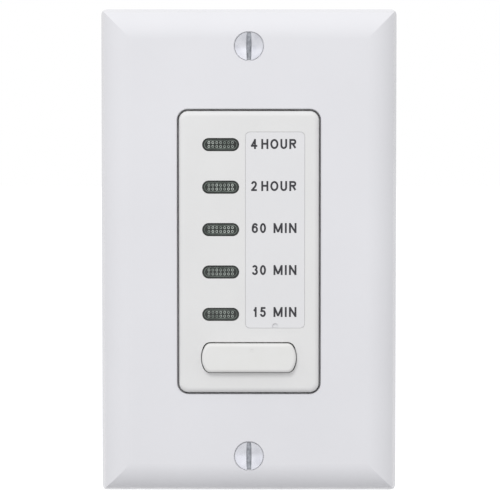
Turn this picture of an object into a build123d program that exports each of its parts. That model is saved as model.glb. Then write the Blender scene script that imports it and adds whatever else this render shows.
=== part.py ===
from build123d import *

import math
import os

# Timer light switch for a single-gang wall box.
# +Z is up, the front faces -Y, and the origin is the middle of the wall plate's
# back, on the wall's surface. All lengths are in millimetres.

overrun = 1.0  # how far a cut runs past the face it opens

# Wall plate
plate_width = 69.85
plate_end = 8.73  # plate beyond its screws
plate_depth = 6.0
plate_wall = 2.0
plate_corner = 1.5
bevel_width = 6.1
bevel_drop = 3.2
rim_draft = 0.8
opening_side = 3.1  # between the opening and a housing screw's axis
opening_end = 8.07  # between the opening and a box screw's axis
opening_corner = 2.6
opening_edge = 0.35
collar_width = 1.6
collar_gap = 0.2
plate_rib_thickness = 1.2
plate_rib_spacing = 22.0
plate_rib_gap = 0.6
plate_rib_bite = 0.4
plate_rib_count = 3
plate_boss_radius = 3.0

# Screws that hold the plate and the strap
plate_screw_lead = 6.75  # plate screw beyond its box screw
box_screw_spacing = 83.34
screw_running_gap = 0.1
plate_screw_head_radius = 3.53
plate_screw_head_gap = 0.08
plate_screw_radius = 1.7
plate_hole_gap = 0.2
plate_screw_length = 12.7
plate_screw_dome = 0.9
countersink_angle = 82.0
slot_width = 1.2
slot_depth = 1.3
screw_point = 0.5
screw_head_edge = 0.7
screw_slot_share = 0.55
box_screw_head_radius = 3.3
box_screw_head_height = 1.9
box_screw_neck_radius = 1.5
box_screw_thread_radius = 1.75
box_screw_thread_length = 23.0
retainer_radius = 4.2
retainer_thickness = 0.8
retainer_play = 0.5

# Mounting strap
strap_lift = 0.3  # its back stands this far off the wall
strap_thickness = 1.4
strap_body_inset = 0.5  # short of the housing all round
strap_body_corner = 2.0
strap_end_width = 24.0
strap_end = 4.75  # short of the plate at each end
strap_end_corner = 3.0
strap_window_width = 29.0
strap_window_end = 4.2  # short of a housing screw's axis
strap_throat_width = 19.6
strap_throat_end = 4.8  # short of the housing's end
strap_window_corner = 1.0
box_slot_length = 7.4
box_slot_width = 4.0
ear_x = 17.2
ear_end = 5.2  # from the strap's end to an ear's middle
ear_radius = 4.4
ear_bore_radius = 1.7
ear_link_width = 4.0
ear_score_width = 0.6
ear_score_depth = 0.5
tap_collar_radius = 2.3
tap_collar_height = 1.1
ground_tab_x = 16.2
ground_head_gap = 1.0  # between the screw's head and the housing
ground_tab_height = 7.0
ground_tab_reach = 4.0
ground_screw_radius = 1.9
ground_screw_head_radius = 3.4
ground_screw_head_height = 2.2
ground_wire_gap = 0.8
ground_screw_proud = 1.2

# Front cover
device_gap = 0.45  # between the plate's opening and the cover
cover_proud = 1.3
cover_wall = 1.6
cover_edge = 1.25
flange_thickness = 1.3
flange_inset = 0.5
flange_corner = 2.0
cover_screw_x = 13.8
cover_screw_end = 4.3  # from the housing's end to a screw's axis
boss_radius = 2.4
boss_gap = 0.25
pilot_radius = 1.5
pilot_depth = 5.2
window_width = 8.7
window_height = 3.1
window_count = 5
window_x = -6.64
top_window_end = 7.85  # below the cover's top
last_window_rise = 10.2  # above the button's middle

# Label insert
label_width = 14.0
label_end = 4.85  # below the cover's top
label_foot_gap = 3.53  # above the button
label_corner = 1.1
label_x = 6.14
label_thickness = 0.9
label_sink = 0.05
label_gap = 0.05
notch_width = 1.3
notch_height = 1.15
notch_depth = 0.35
notch_corner_share = 0.45
clip_end = 6.2  # from the label's end to a clip's middle
clip_width = 4.0
clip_thickness = 1.0
clip_gap = 0.2
clip_barb = 0.4
clip_reach = 1.3

# Lens strip
lens_sink = 0.15
lens_gap = 0.12
lens_carrier_thickness = 1.0
lens_carrier_width = 9.0
lens_carrier_end = 3.7
lens_peg_radius = 0.7
lens_peg_gap = 0.05
lens_peg_inset = 1.5
lens_peg_proud = 0.5

# Push button
button_width = 22.15
button_height = 6.8
button_bow = 1.25
button_corner = 1.6
button_end = 8.3  # from the cover's foot to the button's middle
button_proud = 1.9
button_edge = 0.8
button_gap = 0.25
button_stop_gap = 0.1
button_travel = 0.8
ledge_thickness = 1.0
ledge_width = 16.0
ledge_lap = 0.8
tab_height = 4.0
tab_lap = 1.3
stem_radius = 1.8
stem_gap = 0.1
post_spacing = 16.0
post_radius = 0.9
post_hole_gap = 0.2
post_proud = 0.6
button_core_width = 4.6
button_core_height = 3.8
button_core_x = 4.9
button_skin = 1.4
gate_mark_radius = 0.4
gate_mark_x = 0.7
gate_mark_z = 1.8
gate_mark_depth = 0.15

# Circuit boards
board_thickness = 1.6
board_gap = 0.4
control_board_front = 1.6
relay_head_gap = 3.8  # between the control board and the relay's top
peg_radius = 1.0
peg_proud = 0.8
peg_gap = 0.1
hole_gap = 0.1  # round the square pins and leads
lead_radius = 0.4

# Lamps
led_width = 5.0
led_height = 2.0
led_flange_lap = 0.35
led_flange_thickness = 1.0
led_edge = 0.3
led_gap = 0.3
lead_size = 0.5
lead_spacing = 2.54
lead_proud = 0.9

# Key switch
key_size = 6.0
key_height = 3.5
key_corner = 0.4
key_cap_thickness = 0.4
plunger_radius = 1.7
plunger_bore_gap = 0.05
plunger_proud = 1.2
plunger_foot_radius = 2.2
plunger_foot_thickness = 0.6
key_well_gap = 0.2
key_foot_gap = 0.1

# Rear housing
housing_width = 44.0
housing_end = 7.17  # short of a box screw's axis
solder_gap = 1.8  # between the power board and the housing's floor
housing_wall = 2.0
housing_floor = 2.3
housing_corner = 3.0
housing_back_edge = 1.5
column_wall = 1.3
counterbore_radius = 2.9
screw_seat = 4.0
housing_screw_radius = 1.45
housing_screw_head_radius = 2.7
housing_screw_head_height = 2.2
housing_screw_gap = 0.25
standoff_radius = 2.5
standoff_x = 16.0
standoff_z = 3.5
ledge_block_height = 5.0
ledge_block_depth = 4.0
strip_gauge_length = 12.0
strip_gauge_width = 2.4
strip_gauge_depth = 0.6
strip_gauge_z = 12.0

# Side terminals
terminal_end = 16.2  # from a housing screw's axis to a terminal's
pocket_depth = 5.0
pocket_half_height = 5.6
pocket_start = 5.8
pocket_end = 21.4
pocket_wall = 1.6
pocket_floor = 2.5
terminal_thickness = 1.0
terminal_height = 9.0
terminal_length = 11.0
terminal_tail_width = 3.0
terminal_gap = 0.1
terminal_screw_radius = 1.95
terminal_screw_head_radius = 3.95
terminal_screw_head_height = 2.1
terminal_screw_reach = 2.0
terminal_wire_gap = 0.9
terminal_screw_inset = 5.5
terminal_screw_depth = 12.4
tail_proud = 1.2

# Relay
relay_x = -2.8
relay_end_gap = 1.35  # above the lower columns
relay_width = 16.5
relay_length = 22.5
relay_height = 19.0
relay_wall = 0.8
relay_corner = 0.8
relay_base_height = 2.5
relay_gap = 0.1
yoke_thickness = 1.2
yoke_width = 10.0
coil_offset = 1.5  # the coil's axis from the relay's middle, towards the hinge
core_gap = 0.6  # between the core's and the barrel's sides
pole_lap = 0.6  # of the pole over the barrel
pole_thickness = 1.0
pole_drop = 5.8  # pole face below the relay's top
bobbin_gap = 0.8  # between the bobbin and the yoke
bobbin_barrel_share = 0.547
bobbin_flange = 0.8
winding_share = 0.887
armature_gap = 0.8
armature_thickness = 1.2
armature_width = 9.0
armature_angle = 4.0
hinge_end = 3.05  # from the relay's end to the hinge
hinge_gap = 0.1
armature_tail = 1.0
armature_reach = 3.0
leaf_thickness = 0.3
leaf_width = 3.6
leaf_lap = 8.0
contact_end = 3.35  # from the relay's other end to the contacts
contact_radius = 1.1
contact_height = 0.6
contact_gap = 0.1
contact_leg_width = 3.0
contact_leg_thickness = 0.6
contact_leg_inset = 0.55
contact_leg_x = 3.5

# Parts on the power board
film_x = -3.5
film_gap = 4.05  # below the link's block
film_width = 18.0
film_height = 8.0
film_depth = 14.0
film_edge = 0.6
can_x = 10.8
can_gap = 2.0  # above the lower columns
can_radius = 5.0
can_length = 16.0
can_bead_depth = 0.4
can_bead_height = 1.2
can_bead_place = 2.6
can_edge = 0.5
disc_x = 11.6
disc_z = -4.0
disc_radius = 5.0
disc_thickness = 3.6
disc_edge = 1.0
disc_lead_length = 2.0
diode_radius = 1.35
diode_length = 5.2
diode_spacing = 3.6
diode_first_x = -10.0
diode_gap = 3.55  # above the relay
diode_count = 4
diode_lead_reach = 1.6
fuse_x = 8.0
fuse_z = 8.0
fuse_radius = 2.0
fuse_waist = 0.3
fuse_length = 10.0
fuse_cap = 2.2
fuse_lead_reach = 1.4
part_lift = 0.2  # axial parts stand this far off the board

# Board link
link_end = 3.7  # below the housing's inner end
link_count = 6
link_pin_spacing = 2.54
link_pin_size = 0.64
link_block_height = 2.5
link_block_depth = 2.5
link_pin_proud = 0.7

# Parts on the back of the control board
chip_x = 3.2
chip_z = 4.0
chip_width = 7.5
chip_length = 11.6
chip_depth = 2.2
chip_lift = 0.15
chip_lead_count = 9
chip_lead_spacing = 1.27
chip_lead_width = 0.42
chip_lead_reach = 1.4
chip_lead_thickness = 0.3
crystal_x = -11.8
crystal_z = 8.0
crystal_width = 4.7
crystal_length = 11.4
crystal_depth = 3.4
crystal_base_lap = 0.4
crystal_base_depth = 0.5
crystal_edge = 0.6
resistor_width = 1.25
resistor_length = 2.0
resistor_depth = 0.55
resistor_x = 11.5
resistor_z = -12.0
resistor_spacing = 3.2
resistor_row_count = 5
resistor_column_count = 2

# Depths, measured along Y from the wall's surface
plate_front = -plate_depth
plate_inner = plate_front + plate_wall
strap_back = -strap_lift
strap_front = strap_back - strap_thickness
flange_front = strap_front - flange_thickness
cover_front = plate_front - cover_proud
cover_inner = cover_front + cover_wall
label_floor = cover_front + label_sink + label_thickness
lens_front = cover_front + lens_sink
lens_back = cover_inner + lens_carrier_thickness
button_front = cover_front - button_proud
ledge_front = cover_inner + button_stop_gap
ledge_back = ledge_front + ledge_thickness
control_board_back = control_board_front + board_thickness
power_board_front = control_board_back + relay_head_gap + relay_height
power_board_back = power_board_front + board_thickness
key_top = control_board_front - key_height
plunger_top = key_top - plunger_proud
floor_front = power_board_back + solder_gap
housing_back = floor_front + housing_floor
housing_depth = housing_back - strap_back

# Sizes along the device, which follow from where its box screws are
box_screw_z = box_screw_spacing / 2
plate_screw_z = box_screw_z + plate_screw_lead
plate_height = 2 * (plate_screw_z + plate_end)
opening_height = 2 * (box_screw_z - opening_end)
housing_height = 2 * (box_screw_z - housing_end)
strap_height = plate_height - 2 * strap_end
strap_body_height = housing_height - 2 * strap_body_inset
strap_throat_height = housing_height - 2 * strap_throat_end
cover_screw_z = housing_height / 2 - cover_screw_end
strap_window_height = 2 * (cover_screw_z - strap_window_end)
ear_z = strap_height / 2 - ear_end
ground_tab_z = housing_height / 2 + ground_head_gap + ground_screw_head_radius
terminal_z = cover_screw_z - terminal_end
ledge_block_z = -terminal_z

# Sizes across that follow from the ones above
opening_width = 2 * (cover_screw_x + opening_side)
cover_width = opening_width - 2 * device_gap
cover_height = opening_height - 2 * device_gap
cover_corner = opening_corner - device_gap
strap_body_width = housing_width - 2 * strap_body_inset
flange_width = housing_width - 2 * flange_inset
flange_height = housing_height - 2 * flange_inset
column_radius = counterbore_radius + column_wall
inner_half_width = housing_width / 2 - housing_wall
inner_half_height = housing_height / 2 - housing_wall
pocket_x = housing_width / 2 - pocket_depth
block_x = pocket_x - pocket_floor
bevel_radius = (bevel_width**2 + bevel_drop**2) / (2 * bevel_drop)
button_z = button_end - cover_height / 2
label_top_z = cover_height / 2 - label_end
label_foot_z = button_z + button_height / 2 + label_foot_gap
label_height = label_top_z - label_foot_z
label_z = (label_top_z + label_foot_z) / 2
clip_spacing = label_height - 2 * clip_end
top_window_z = cover_height / 2 - top_window_end
window_pitch = (top_window_z - button_z - last_window_rise) / (window_count - 1)
window_places = [
    (window_x, top_window_z - index * window_pitch) for index in range(window_count)
]
cover_screw_places = [
    (side * cover_screw_x, end * cover_screw_z) for side in (-1, 1) for end in (-1, 1)
]
box_screw_places = [(0, -box_screw_z), (0, box_screw_z)]
plate_screw_places = [(0, -plate_screw_z), (0, plate_screw_z)]
post_places = [(-post_spacing / 2, button_z), (post_spacing / 2, button_z)]
peg_x = (block_x + inner_half_width) / 2
control_peg_places = [
    (-peg_x, terminal_z),
    (-peg_x, -terminal_z),
    (peg_x, terminal_z),
    (peg_x, ledge_block_z),
]
column_start = cover_screw_z - column_radius
relay_z = relay_end_gap + relay_length / 2 - column_start
diode_z = relay_z + relay_length / 2 + diode_gap + diode_lead_reach + diode_length / 2
can_z = can_gap + can_radius - column_start
link_z = inner_half_height - link_end
film_z = link_z - link_block_height / 2 - film_gap - film_height / 2
standoff_places = [
    (side * standoff_x, end * (terminal_z + pocket_half_height + standoff_z))
    for side in (-1, 1)
    for end in (-1, 1)
]


def facing(depth):
    """Sketch plane across the device at a depth, looking out of the wall."""
    return Plane.XZ.offset(-depth)


def side_plane(across):
    """Sketch plane along the device at a place across it; its first axis is depth."""
    return Plane(origin=(across, 0, 0), x_dir=(0, 1, 0), z_dir=(1, 0, 0))


# Plane of the plate's upright section; its first axis is up and its second is depth
upright_section = Plane(origin=(0, 0, 0), x_dir=(0, 0, 1), z_dir=(-1, 0, 0))


def finish(builder, label):
    """Labels a finished piece and writes its file."""
    builder.part.label = label
    export_step(builder.part, f"parts/{label}.step")


def rolled_section(half, inset):
    """The plate's section between its rolled edges, inset by a wall."""
    radius = bevel_radius - inset
    run = bevel_width - inset
    shoulder = half - inset - rim_draft
    flat = shoulder - run
    face = plate_front + inset
    turn = face + radius - math.sqrt(radius**2 - run**2)
    with BuildSketch() as section:
        with BuildLine():
            Polyline((-shoulder, turn), (inset - half, 0), (inset - half, overrun))
            Line((inset - half, overrun), (half - inset, overrun))
            Polyline((half - inset, overrun), (half - inset, 0), (shoulder, turn))
            TangentArc((flat, face), (shoulder, turn), tangent=(1, 0))
            Line((flat, face), (-flat, face))
            TangentArc((-flat, face), (-shoulder, turn), tangent=(-1, 0))
        make_face()
    return section.sketch


def rolled_block(inset):
    """Block with the plate's rolled edges on all four sides, mitred at its corners."""
    across = rolled_section(plate_width / 2, inset)
    upright = rolled_section(plate_height / 2, inset)
    with BuildPart() as block:
        with BuildSketch(Plane.XY):
            add(across)
        extrude(amount=plate_height, both=True)
        with BuildSketch(upright_section):
            add(upright)
        extrude(amount=plate_width, both=True, mode=Mode.INTERSECT)
    return block.part


def slotted_screw(head_radius, head_height, radius, length, neck_radius=0, neck_length=0):
    """Screw along +Y with its head's underside at the origin, and a neck if it has one."""
    with BuildPart() as screw:
        with BuildSketch(Plane.XY):
            with BuildLine():
                Polyline(
                    (0, -head_height),
                    (head_radius - screw_head_edge, -head_height),
                    (head_radius, screw_head_edge - head_height),
                    (head_radius, 0),
                    (0, 0),
                    close=True,
                )
            make_face()
            with BuildLine():
                Polyline(
                    (0, neck_length),
                    (radius, neck_length),
                    (radius, length - screw_point),
                    (radius - screw_point, length),
                    (0, length),
                    close=True,
                )
            make_face()
            if neck_length > 0:
                with Locations((neck_radius / 2, neck_length / 2)):
                    Rectangle(neck_radius, neck_length)
        revolve(axis=Axis.Y)
        with BuildSketch(facing(-head_height)):
            Rectangle(slot_width, 2 * head_radius + overrun)
        extrude(amount=-head_height * screw_slot_share, mode=Mode.SUBTRACT)
    return screw.part


def board_outline():
    """Outline of both circuit boards, clear of the housing's four columns."""
    Rectangle(
        2 * (inner_half_width - board_gap),
        2 * (cover_screw_z - column_radius - board_gap),
    )
    Rectangle(
        2 * (cover_screw_x - column_radius - board_gap),
        2 * (inner_half_height - board_gap),
    )


def link_holes(gap):
    """Square outlines of the pins that join the two boards, grown by a gap."""
    with Locations((0, link_z)):
        with GridLocations(link_pin_spacing, 0, link_count, 1):
            Rectangle(link_pin_size + 2 * gap, link_pin_size + 2 * gap)


def button_outline(grow):
    """The button's outline, a bar with bowed ends, grown by a gap."""
    half_long = button_width / 2 + grow
    half_high = button_height / 2 + grow
    straight = half_long - button_bow
    with BuildLine(mode=Mode.PRIVATE) as edge:
        Line((-straight, half_high), (straight, half_high))
        ThreePointArc((straight, half_high), (half_long, 0), (straight, -half_high))
        Line((straight, -half_high), (-straight, -half_high))
        ThreePointArc((-straight, -half_high), (-half_long, 0), (-straight, half_high))
    face = make_face(edge.line, mode=Mode.PRIVATE).face()
    rounded = face.fillet_2d(button_corner + grow, face.vertices())
    with Locations((0, button_z)):
        add(rounded)


def axial_part(outline, half_length, lead_reach, depth):
    """Part lying along Z at a depth, with its leads bent back to the power board."""
    with BuildPart() as part:
        with BuildSketch(Plane.XZ):
            with BuildLine():
                Polyline((0, -half_length), *outline, (0, half_length), close=True)
            make_face()
        revolve(axis=Axis.Z)
        with BuildSketch(Plane.XY.offset(-half_length - lead_reach)):
            Circle(lead_radius)
        extrude(amount=2 * (half_length + lead_reach))
        with BuildSketch(facing(power_board_front - depth)):
            with GridLocations(0, 2 * (half_length + lead_reach - lead_radius), 1, 2):
                Circle(lead_radius)
        extrude(amount=power_board_front - depth)
    return part.part


os.makedirs("parts", exist_ok=True)

# Wall plate: a hollow shell with a collar round its opening, ribs at the sides
# and a boss behind each screw hole that bears on the strap
plate_shell = rolled_block(0)
plate_hollow = rolled_block(plate_wall)
rib_start = strap_body_width / 2 + plate_rib_gap
rib_end = plate_width / 2 - rim_draft - plate_wall + plate_rib_bite
rib_middle = (rib_start + rib_end) / 2

with BuildPart() as wall_plate:
    with BuildSketch(facing(0)):
        RectangleRounded(plate_width, plate_height, plate_corner)
    extrude(amount=plate_depth)
    add(plate_shell, mode=Mode.INTERSECT)
    add(plate_hollow, mode=Mode.SUBTRACT)
    with BuildSketch(facing(flange_front - collar_gap)):
        RectangleRounded(
            opening_width + 2 * collar_width,
            opening_height + 2 * collar_width,
            opening_corner + collar_width,
        )
    extrude(amount=flange_front - collar_gap - plate_inner)
    with BuildSketch(facing(strap_front)):
        with Locations((rib_middle, 0), (-rib_middle, 0)):
            with GridLocations(0, plate_rib_spacing, 1, plate_rib_count):
                Rectangle(rib_end - rib_start, plate_rib_thickness)
        with Locations(*plate_screw_places):
            Circle(plate_boss_radius)
    extrude(amount=strap_front - plate_inner)
    with BuildSketch(facing(overrun)):
        RectangleRounded(opening_width, opening_height, opening_corner)
    extrude(amount=plate_depth + 2 * overrun, mode=Mode.SUBTRACT)
    front_face = wall_plate.faces().sort_by(Axis.Y)[0]
    fillet(front_face.inner_wires()[0].edges(), radius=opening_edge)
    with Locations(facing(plate_front)):
        with Locations(*plate_screw_places):
            CounterSinkHole(
                plate_screw_radius + plate_hole_gap,
                plate_screw_head_radius + plate_screw_head_gap,
                counter_sink_angle=countersink_angle,
            )
finish(wall_plate, "wall_plate")

# Plate screws: oval countersunk heads with one upright slot each
cone_depth = (plate_screw_head_radius - plate_screw_radius) / math.tan(
    math.radians(countersink_angle / 2)
)

with BuildPart() as plate_screw:
    with BuildSketch(Plane.XY):
        with BuildLine():
            RadiusArc(
                (0, -plate_screw_dome),
                (plate_screw_head_radius, 0),
                (plate_screw_head_radius**2 + plate_screw_dome**2) / (2 * plate_screw_dome),
            )
            Polyline(
                (plate_screw_head_radius, 0),
                (plate_screw_radius, cone_depth),
                (plate_screw_radius, plate_screw_length - screw_point),
                (plate_screw_radius - screw_point, plate_screw_length),
                (0, plate_screw_length),
                (0, -plate_screw_dome),
            )
        make_face()
    revolve(axis=Axis.Y)
    with BuildSketch(facing(-plate_screw_dome)):
        Rectangle(slot_width, 2 * plate_screw_head_radius + overrun)
    extrude(amount=-slot_depth, mode=Mode.SUBTRACT)

with BuildPart() as plate_screws:
    with Locations(*[(x, plate_front, z) for x, z in plate_screw_places]):
        add(plate_screw.part)
finish(plate_screws, "plate_screws")

# Mounting strap: one steel stamping with drawn collars for the plate screws and
# ears scored to break off
with BuildPart() as mounting_strap:
    with BuildSketch(facing(strap_back)):
        RectangleRounded(strap_body_width, strap_body_height, strap_body_corner)
        RectangleRounded(strap_end_width, strap_height, strap_end_corner)
        with GridLocations(2 * ear_x, 2 * ear_z, 2, 2):
            Circle(ear_radius)
        with GridLocations(strap_end_width, 2 * ear_z, 2, 2):
            Rectangle(2 * (ear_x - ear_bore_radius) - strap_end_width, ear_link_width)
        with Locations((-(ground_tab_x + ground_tab_reach) / 2, -ground_tab_z)):
            Rectangle(ground_tab_x + ground_tab_reach, ground_tab_height)
        with BuildSketch(mode=Mode.PRIVATE) as window:
            Rectangle(strap_window_width, strap_window_height)
            Rectangle(strap_throat_width, strap_throat_height)
            fillet(window.vertices(), radius=strap_window_corner)
        add(window.sketch, mode=Mode.SUBTRACT)
        with GridLocations(2 * ear_x, 2 * ear_z, 2, 2):
            Circle(ear_bore_radius, mode=Mode.SUBTRACT)
        with Locations(*box_screw_places):
            SlotOverall(box_slot_length, box_slot_width, mode=Mode.SUBTRACT)
        with Locations(*plate_screw_places):
            Circle(plate_screw_radius + screw_running_gap, mode=Mode.SUBTRACT)
        with Locations(*cover_screw_places):
            Circle(boss_radius + boss_gap, mode=Mode.SUBTRACT)
        with Locations((-ground_tab_x, -ground_tab_z)):
            Circle(ground_screw_radius + screw_running_gap, mode=Mode.SUBTRACT)
    extrude(amount=strap_thickness)
    with BuildSketch(facing(strap_back + tap_collar_height)):
        with Locations(*plate_screw_places):
            Circle(tap_collar_radius)
            Circle(plate_screw_radius + screw_running_gap, mode=Mode.SUBTRACT)
    extrude(amount=tap_collar_height)
    with BuildSketch(facing(strap_front)):
        with GridLocations(strap_end_width + ear_score_width, 2 * ear_z, 2, 2):
            Rectangle(ear_score_width, ear_link_width)
    extrude(amount=-ear_score_depth, mode=Mode.SUBTRACT)
finish(mounting_strap, "mounting_strap")

# Earthing screw, driven from behind the strap so that its wire lies in the box
earth_screw = slotted_screw(
    ground_screw_head_radius,
    ground_screw_head_height,
    ground_screw_radius,
    ground_wire_gap + strap_thickness + ground_screw_proud,
)

with BuildPart() as ground_screw:
    with Locations(Location((-ground_tab_x, strap_back + ground_wire_gap, -ground_tab_z), (0, 0, 180))):
        add(earth_screw)
finish(ground_screw, "ground_screw")

# Box screws, with a waist that lets their washers hold them captive in the strap
waist_length = strap_thickness + retainer_thickness + retainer_play
box_screw = slotted_screw(
    box_screw_head_radius,
    box_screw_head_height,
    box_screw_thread_radius,
    waist_length + box_screw_thread_length,
    neck_radius=box_screw_neck_radius,
    neck_length=waist_length,
)

with BuildPart() as box_screws:
    with Locations(*[(x, strap_front, z) for x, z in box_screw_places]):
        add(box_screw)
finish(box_screws, "box_screws")

with BuildPart() as screw_retainers:
    with BuildSketch(facing(strap_back + retainer_thickness)):
        with Locations(*box_screw_places):
            Circle(retainer_radius)
            Circle(box_screw_neck_radius + screw_running_gap, mode=Mode.SUBTRACT)
    extrude(amount=retainer_thickness)
finish(screw_retainers, "screw_retainers")

# Front cover: a rimmed tray with a flange behind the plate, four screw bosses
# that pass through the strap, and pegs for the lens strip
lens_peg_places = [
    (window_x, window_places[0][1] + window_height / 2 + lens_carrier_end - lens_peg_inset),
    (window_x, window_places[-1][1] - window_height / 2 - lens_carrier_end + lens_peg_inset),
]
clip_places = [
    (label_x, label_z + clip_spacing / 2),
    (label_x, label_z - clip_spacing / 2),
]

with BuildPart() as front_cover:
    with BuildSketch(facing(flange_front)):
        RectangleRounded(cover_width, cover_height, cover_corner)
    extrude(amount=flange_front - cover_front)
    fillet(front_cover.faces().sort_by(Axis.Y)[0].edges(), radius=cover_edge)
    with BuildSketch(facing(strap_front)):
        RectangleRounded(flange_width, flange_height, flange_corner)
    extrude(amount=flange_thickness)
    with BuildSketch(facing(strap_front)):
        Rectangle(cover_width - 2 * cover_wall, cover_height - 2 * cover_wall)
    extrude(amount=strap_front - cover_inner, mode=Mode.SUBTRACT)
    with BuildSketch(facing(strap_back)):
        with Locations(*cover_screw_places):
            Circle(boss_radius)
    extrude(amount=strap_back - cover_inner)
    with BuildSketch(facing(strap_back)):
        with Locations(*cover_screw_places):
            Circle(pilot_radius)
    extrude(amount=pilot_depth, mode=Mode.SUBTRACT)
    with BuildSketch(facing(cover_inner + lens_carrier_thickness + lens_peg_proud)):
        with Locations(*lens_peg_places):
            Circle(lens_peg_radius)
    extrude(amount=lens_carrier_thickness + lens_peg_proud)
    with BuildSketch(facing(cover_front - overrun)):
        with Locations(*window_places):
            SlotOverall(window_width, window_height)
        button_outline(button_gap)
    extrude(amount=cover_front - overrun - cover_inner, mode=Mode.SUBTRACT)
    with BuildSketch(facing(label_floor)):
        with Locations((label_x, label_z)):
            RectangleRounded(label_width, label_height, label_corner)
    extrude(amount=label_floor - cover_front + overrun, mode=Mode.SUBTRACT)
    with BuildSketch(facing(cover_inner)):
        with Locations(*clip_places):
            Rectangle(clip_width + 2 * clip_gap, clip_thickness + 2 * (clip_barb + clip_gap))
    extrude(amount=cover_inner - label_floor, mode=Mode.SUBTRACT)
finish(front_cover, "front_cover")

# Label insert: clips into the cover and has a notch to lift it out by
with BuildPart() as label_insert:
    with BuildSketch(facing(label_floor)):
        with Locations((label_x, label_z)):
            RectangleRounded(
                label_width - 2 * label_gap,
                label_height - 2 * label_gap,
                label_corner - label_gap,
            )
    extrude(amount=label_thickness)
    with BuildSketch(facing(label_floor - label_thickness)):
        with Locations((label_x, label_z - label_height / 2)):
            RectangleRounded(notch_width, 2 * notch_height, notch_width * notch_corner_share)
    extrude(amount=-notch_depth, mode=Mode.SUBTRACT)
    for end in (-1, 1):
        clip_middle = label_z + end * clip_spacing / 2
        outside = clip_middle + end * clip_thickness / 2
        inside = clip_middle - end * clip_thickness / 2
        catch = cover_inner + clip_gap
        with BuildSketch(side_plane(label_x - clip_width / 2)):
            with BuildLine():
                Polyline(
                    (label_floor, inside),
                    (label_floor, outside),
                    (catch, outside),
                    (catch, outside + end * clip_barb),
                    (cover_inner + clip_reach, outside),
                    (cover_inner + clip_reach, inside),
                    close=True,
                )
            make_face()
        extrude(amount=clip_width)
finish(label_insert, "label_insert")

# Lens strip: five pads on one carrier, each filling a window
carrier_top = window_places[0][1] + window_height / 2 + lens_carrier_end
carrier_foot = window_places[-1][1] - window_height / 2 - lens_carrier_end

with BuildPart() as lens_strip:
    with BuildSketch(facing(lens_back)):
        with Locations((window_x, (carrier_top + carrier_foot) / 2)):
            RectangleRounded(lens_carrier_width, carrier_top - carrier_foot, cover_corner)
        with Locations(*lens_peg_places):
            Circle(lens_peg_radius + lens_peg_gap, mode=Mode.SUBTRACT)
    extrude(amount=lens_carrier_thickness)
    with BuildSketch(facing(cover_inner)):
        with Locations(*window_places):
            SlotOverall(window_width - 2 * lens_gap, window_height - 2 * lens_gap)
    extrude(amount=cover_inner - lens_front)
finish(lens_strip, "lens_strip")

# Push button: a raised bar, its ledge behind the cover, a stem over the key
# switch and two posts that slide in the control board
with BuildPart() as push_button:
    with BuildSketch(facing(ledge_front)):
        button_outline(0)
    extrude(amount=ledge_front - button_front)
    crown = push_button.faces().sort_by(Axis.Y)[0]
    fillet(crown.edges(), radius=button_edge)
    with BuildSketch(facing(ledge_back)):
        with Locations((0, button_z)):
            Rectangle(button_width + 2 * tab_lap, tab_height)
            Rectangle(ledge_width, button_height + 2 * ledge_lap)
    extrude(amount=ledge_thickness)
    with BuildSketch(facing(ledge_back)):
        with Locations((button_core_x, button_z), (-button_core_x, button_z)):
            Rectangle(button_core_width, button_core_height)
    extrude(amount=ledge_back - button_front - button_skin, mode=Mode.SUBTRACT)
    with BuildSketch(facing(plunger_top - stem_gap)):
        with Locations((0, button_z)):
            Circle(stem_radius)
    extrude(amount=plunger_top - stem_gap - ledge_back)
    with BuildSketch(facing(control_board_back + post_proud)):
        with Locations(*post_places):
            Circle(post_radius)
    extrude(amount=control_board_back + post_proud - ledge_back)
    with BuildSketch(facing(button_front)):
        with Locations((gate_mark_x, button_z + gate_mark_z)):
            Circle(gate_mark_radius)
    extrude(amount=-gate_mark_depth, mode=Mode.SUBTRACT)
finish(push_button, "push_button")

# Control board
with BuildPart() as control_board:
    with BuildSketch(facing(control_board_back)):
        board_outline()
        with Locations(*control_peg_places):
            Circle(peg_radius + peg_gap, mode=Mode.SUBTRACT)
        with Locations(*post_places):
            Circle(post_radius + post_hole_gap, mode=Mode.SUBTRACT)
        with BuildSketch(mode=Mode.PRIVATE) as pin_holes:
            link_holes(hole_gap)
            with Locations(*window_places):
                with GridLocations(lead_spacing, 0, 2, 1):
                    Rectangle(lead_size + 2 * hole_gap, lead_size + 2 * hole_gap)
        add(pin_holes.sketch, mode=Mode.SUBTRACT)
    extrude(amount=board_thickness)
finish(control_board, "control_board")

# Lamps, one behind each window
led_names = ["led_4_hour", "led_2_hour", "led_60_min", "led_30_min", "led_15_min"]
led_front = lens_back + led_gap

for led_name, led_place in zip(led_names, window_places):
    with BuildPart() as led:
        with BuildSketch(facing(control_board_front)):
            with Locations(led_place):
                Rectangle(led_width, led_height)
        extrude(amount=control_board_front - led_front)
        fillet(led.faces().sort_by(Axis.Y)[0].edges(), radius=led_edge)
        with BuildSketch(facing(control_board_front)):
            with Locations(led_place):
                Rectangle(led_width + 2 * led_flange_lap, led_height + 2 * led_flange_lap)
        extrude(amount=led_flange_thickness)
        with BuildSketch(facing(control_board_back + lead_proud)):
            with Locations(led_place):
                with GridLocations(lead_spacing, 0, 2, 1):
                    Rectangle(lead_size, lead_size)
        extrude(amount=board_thickness + lead_proud)
    finish(led, led_name)

# Key switch: moulded base with a well, steel cap, and the plunger it traps
key_cap_back = key_top + key_cap_thickness
plunger_foot_front = key_cap_back + key_foot_gap
plunger_foot_back = plunger_foot_front + plunger_foot_thickness
key_well_back = plunger_foot_back + button_travel + key_foot_gap

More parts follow.
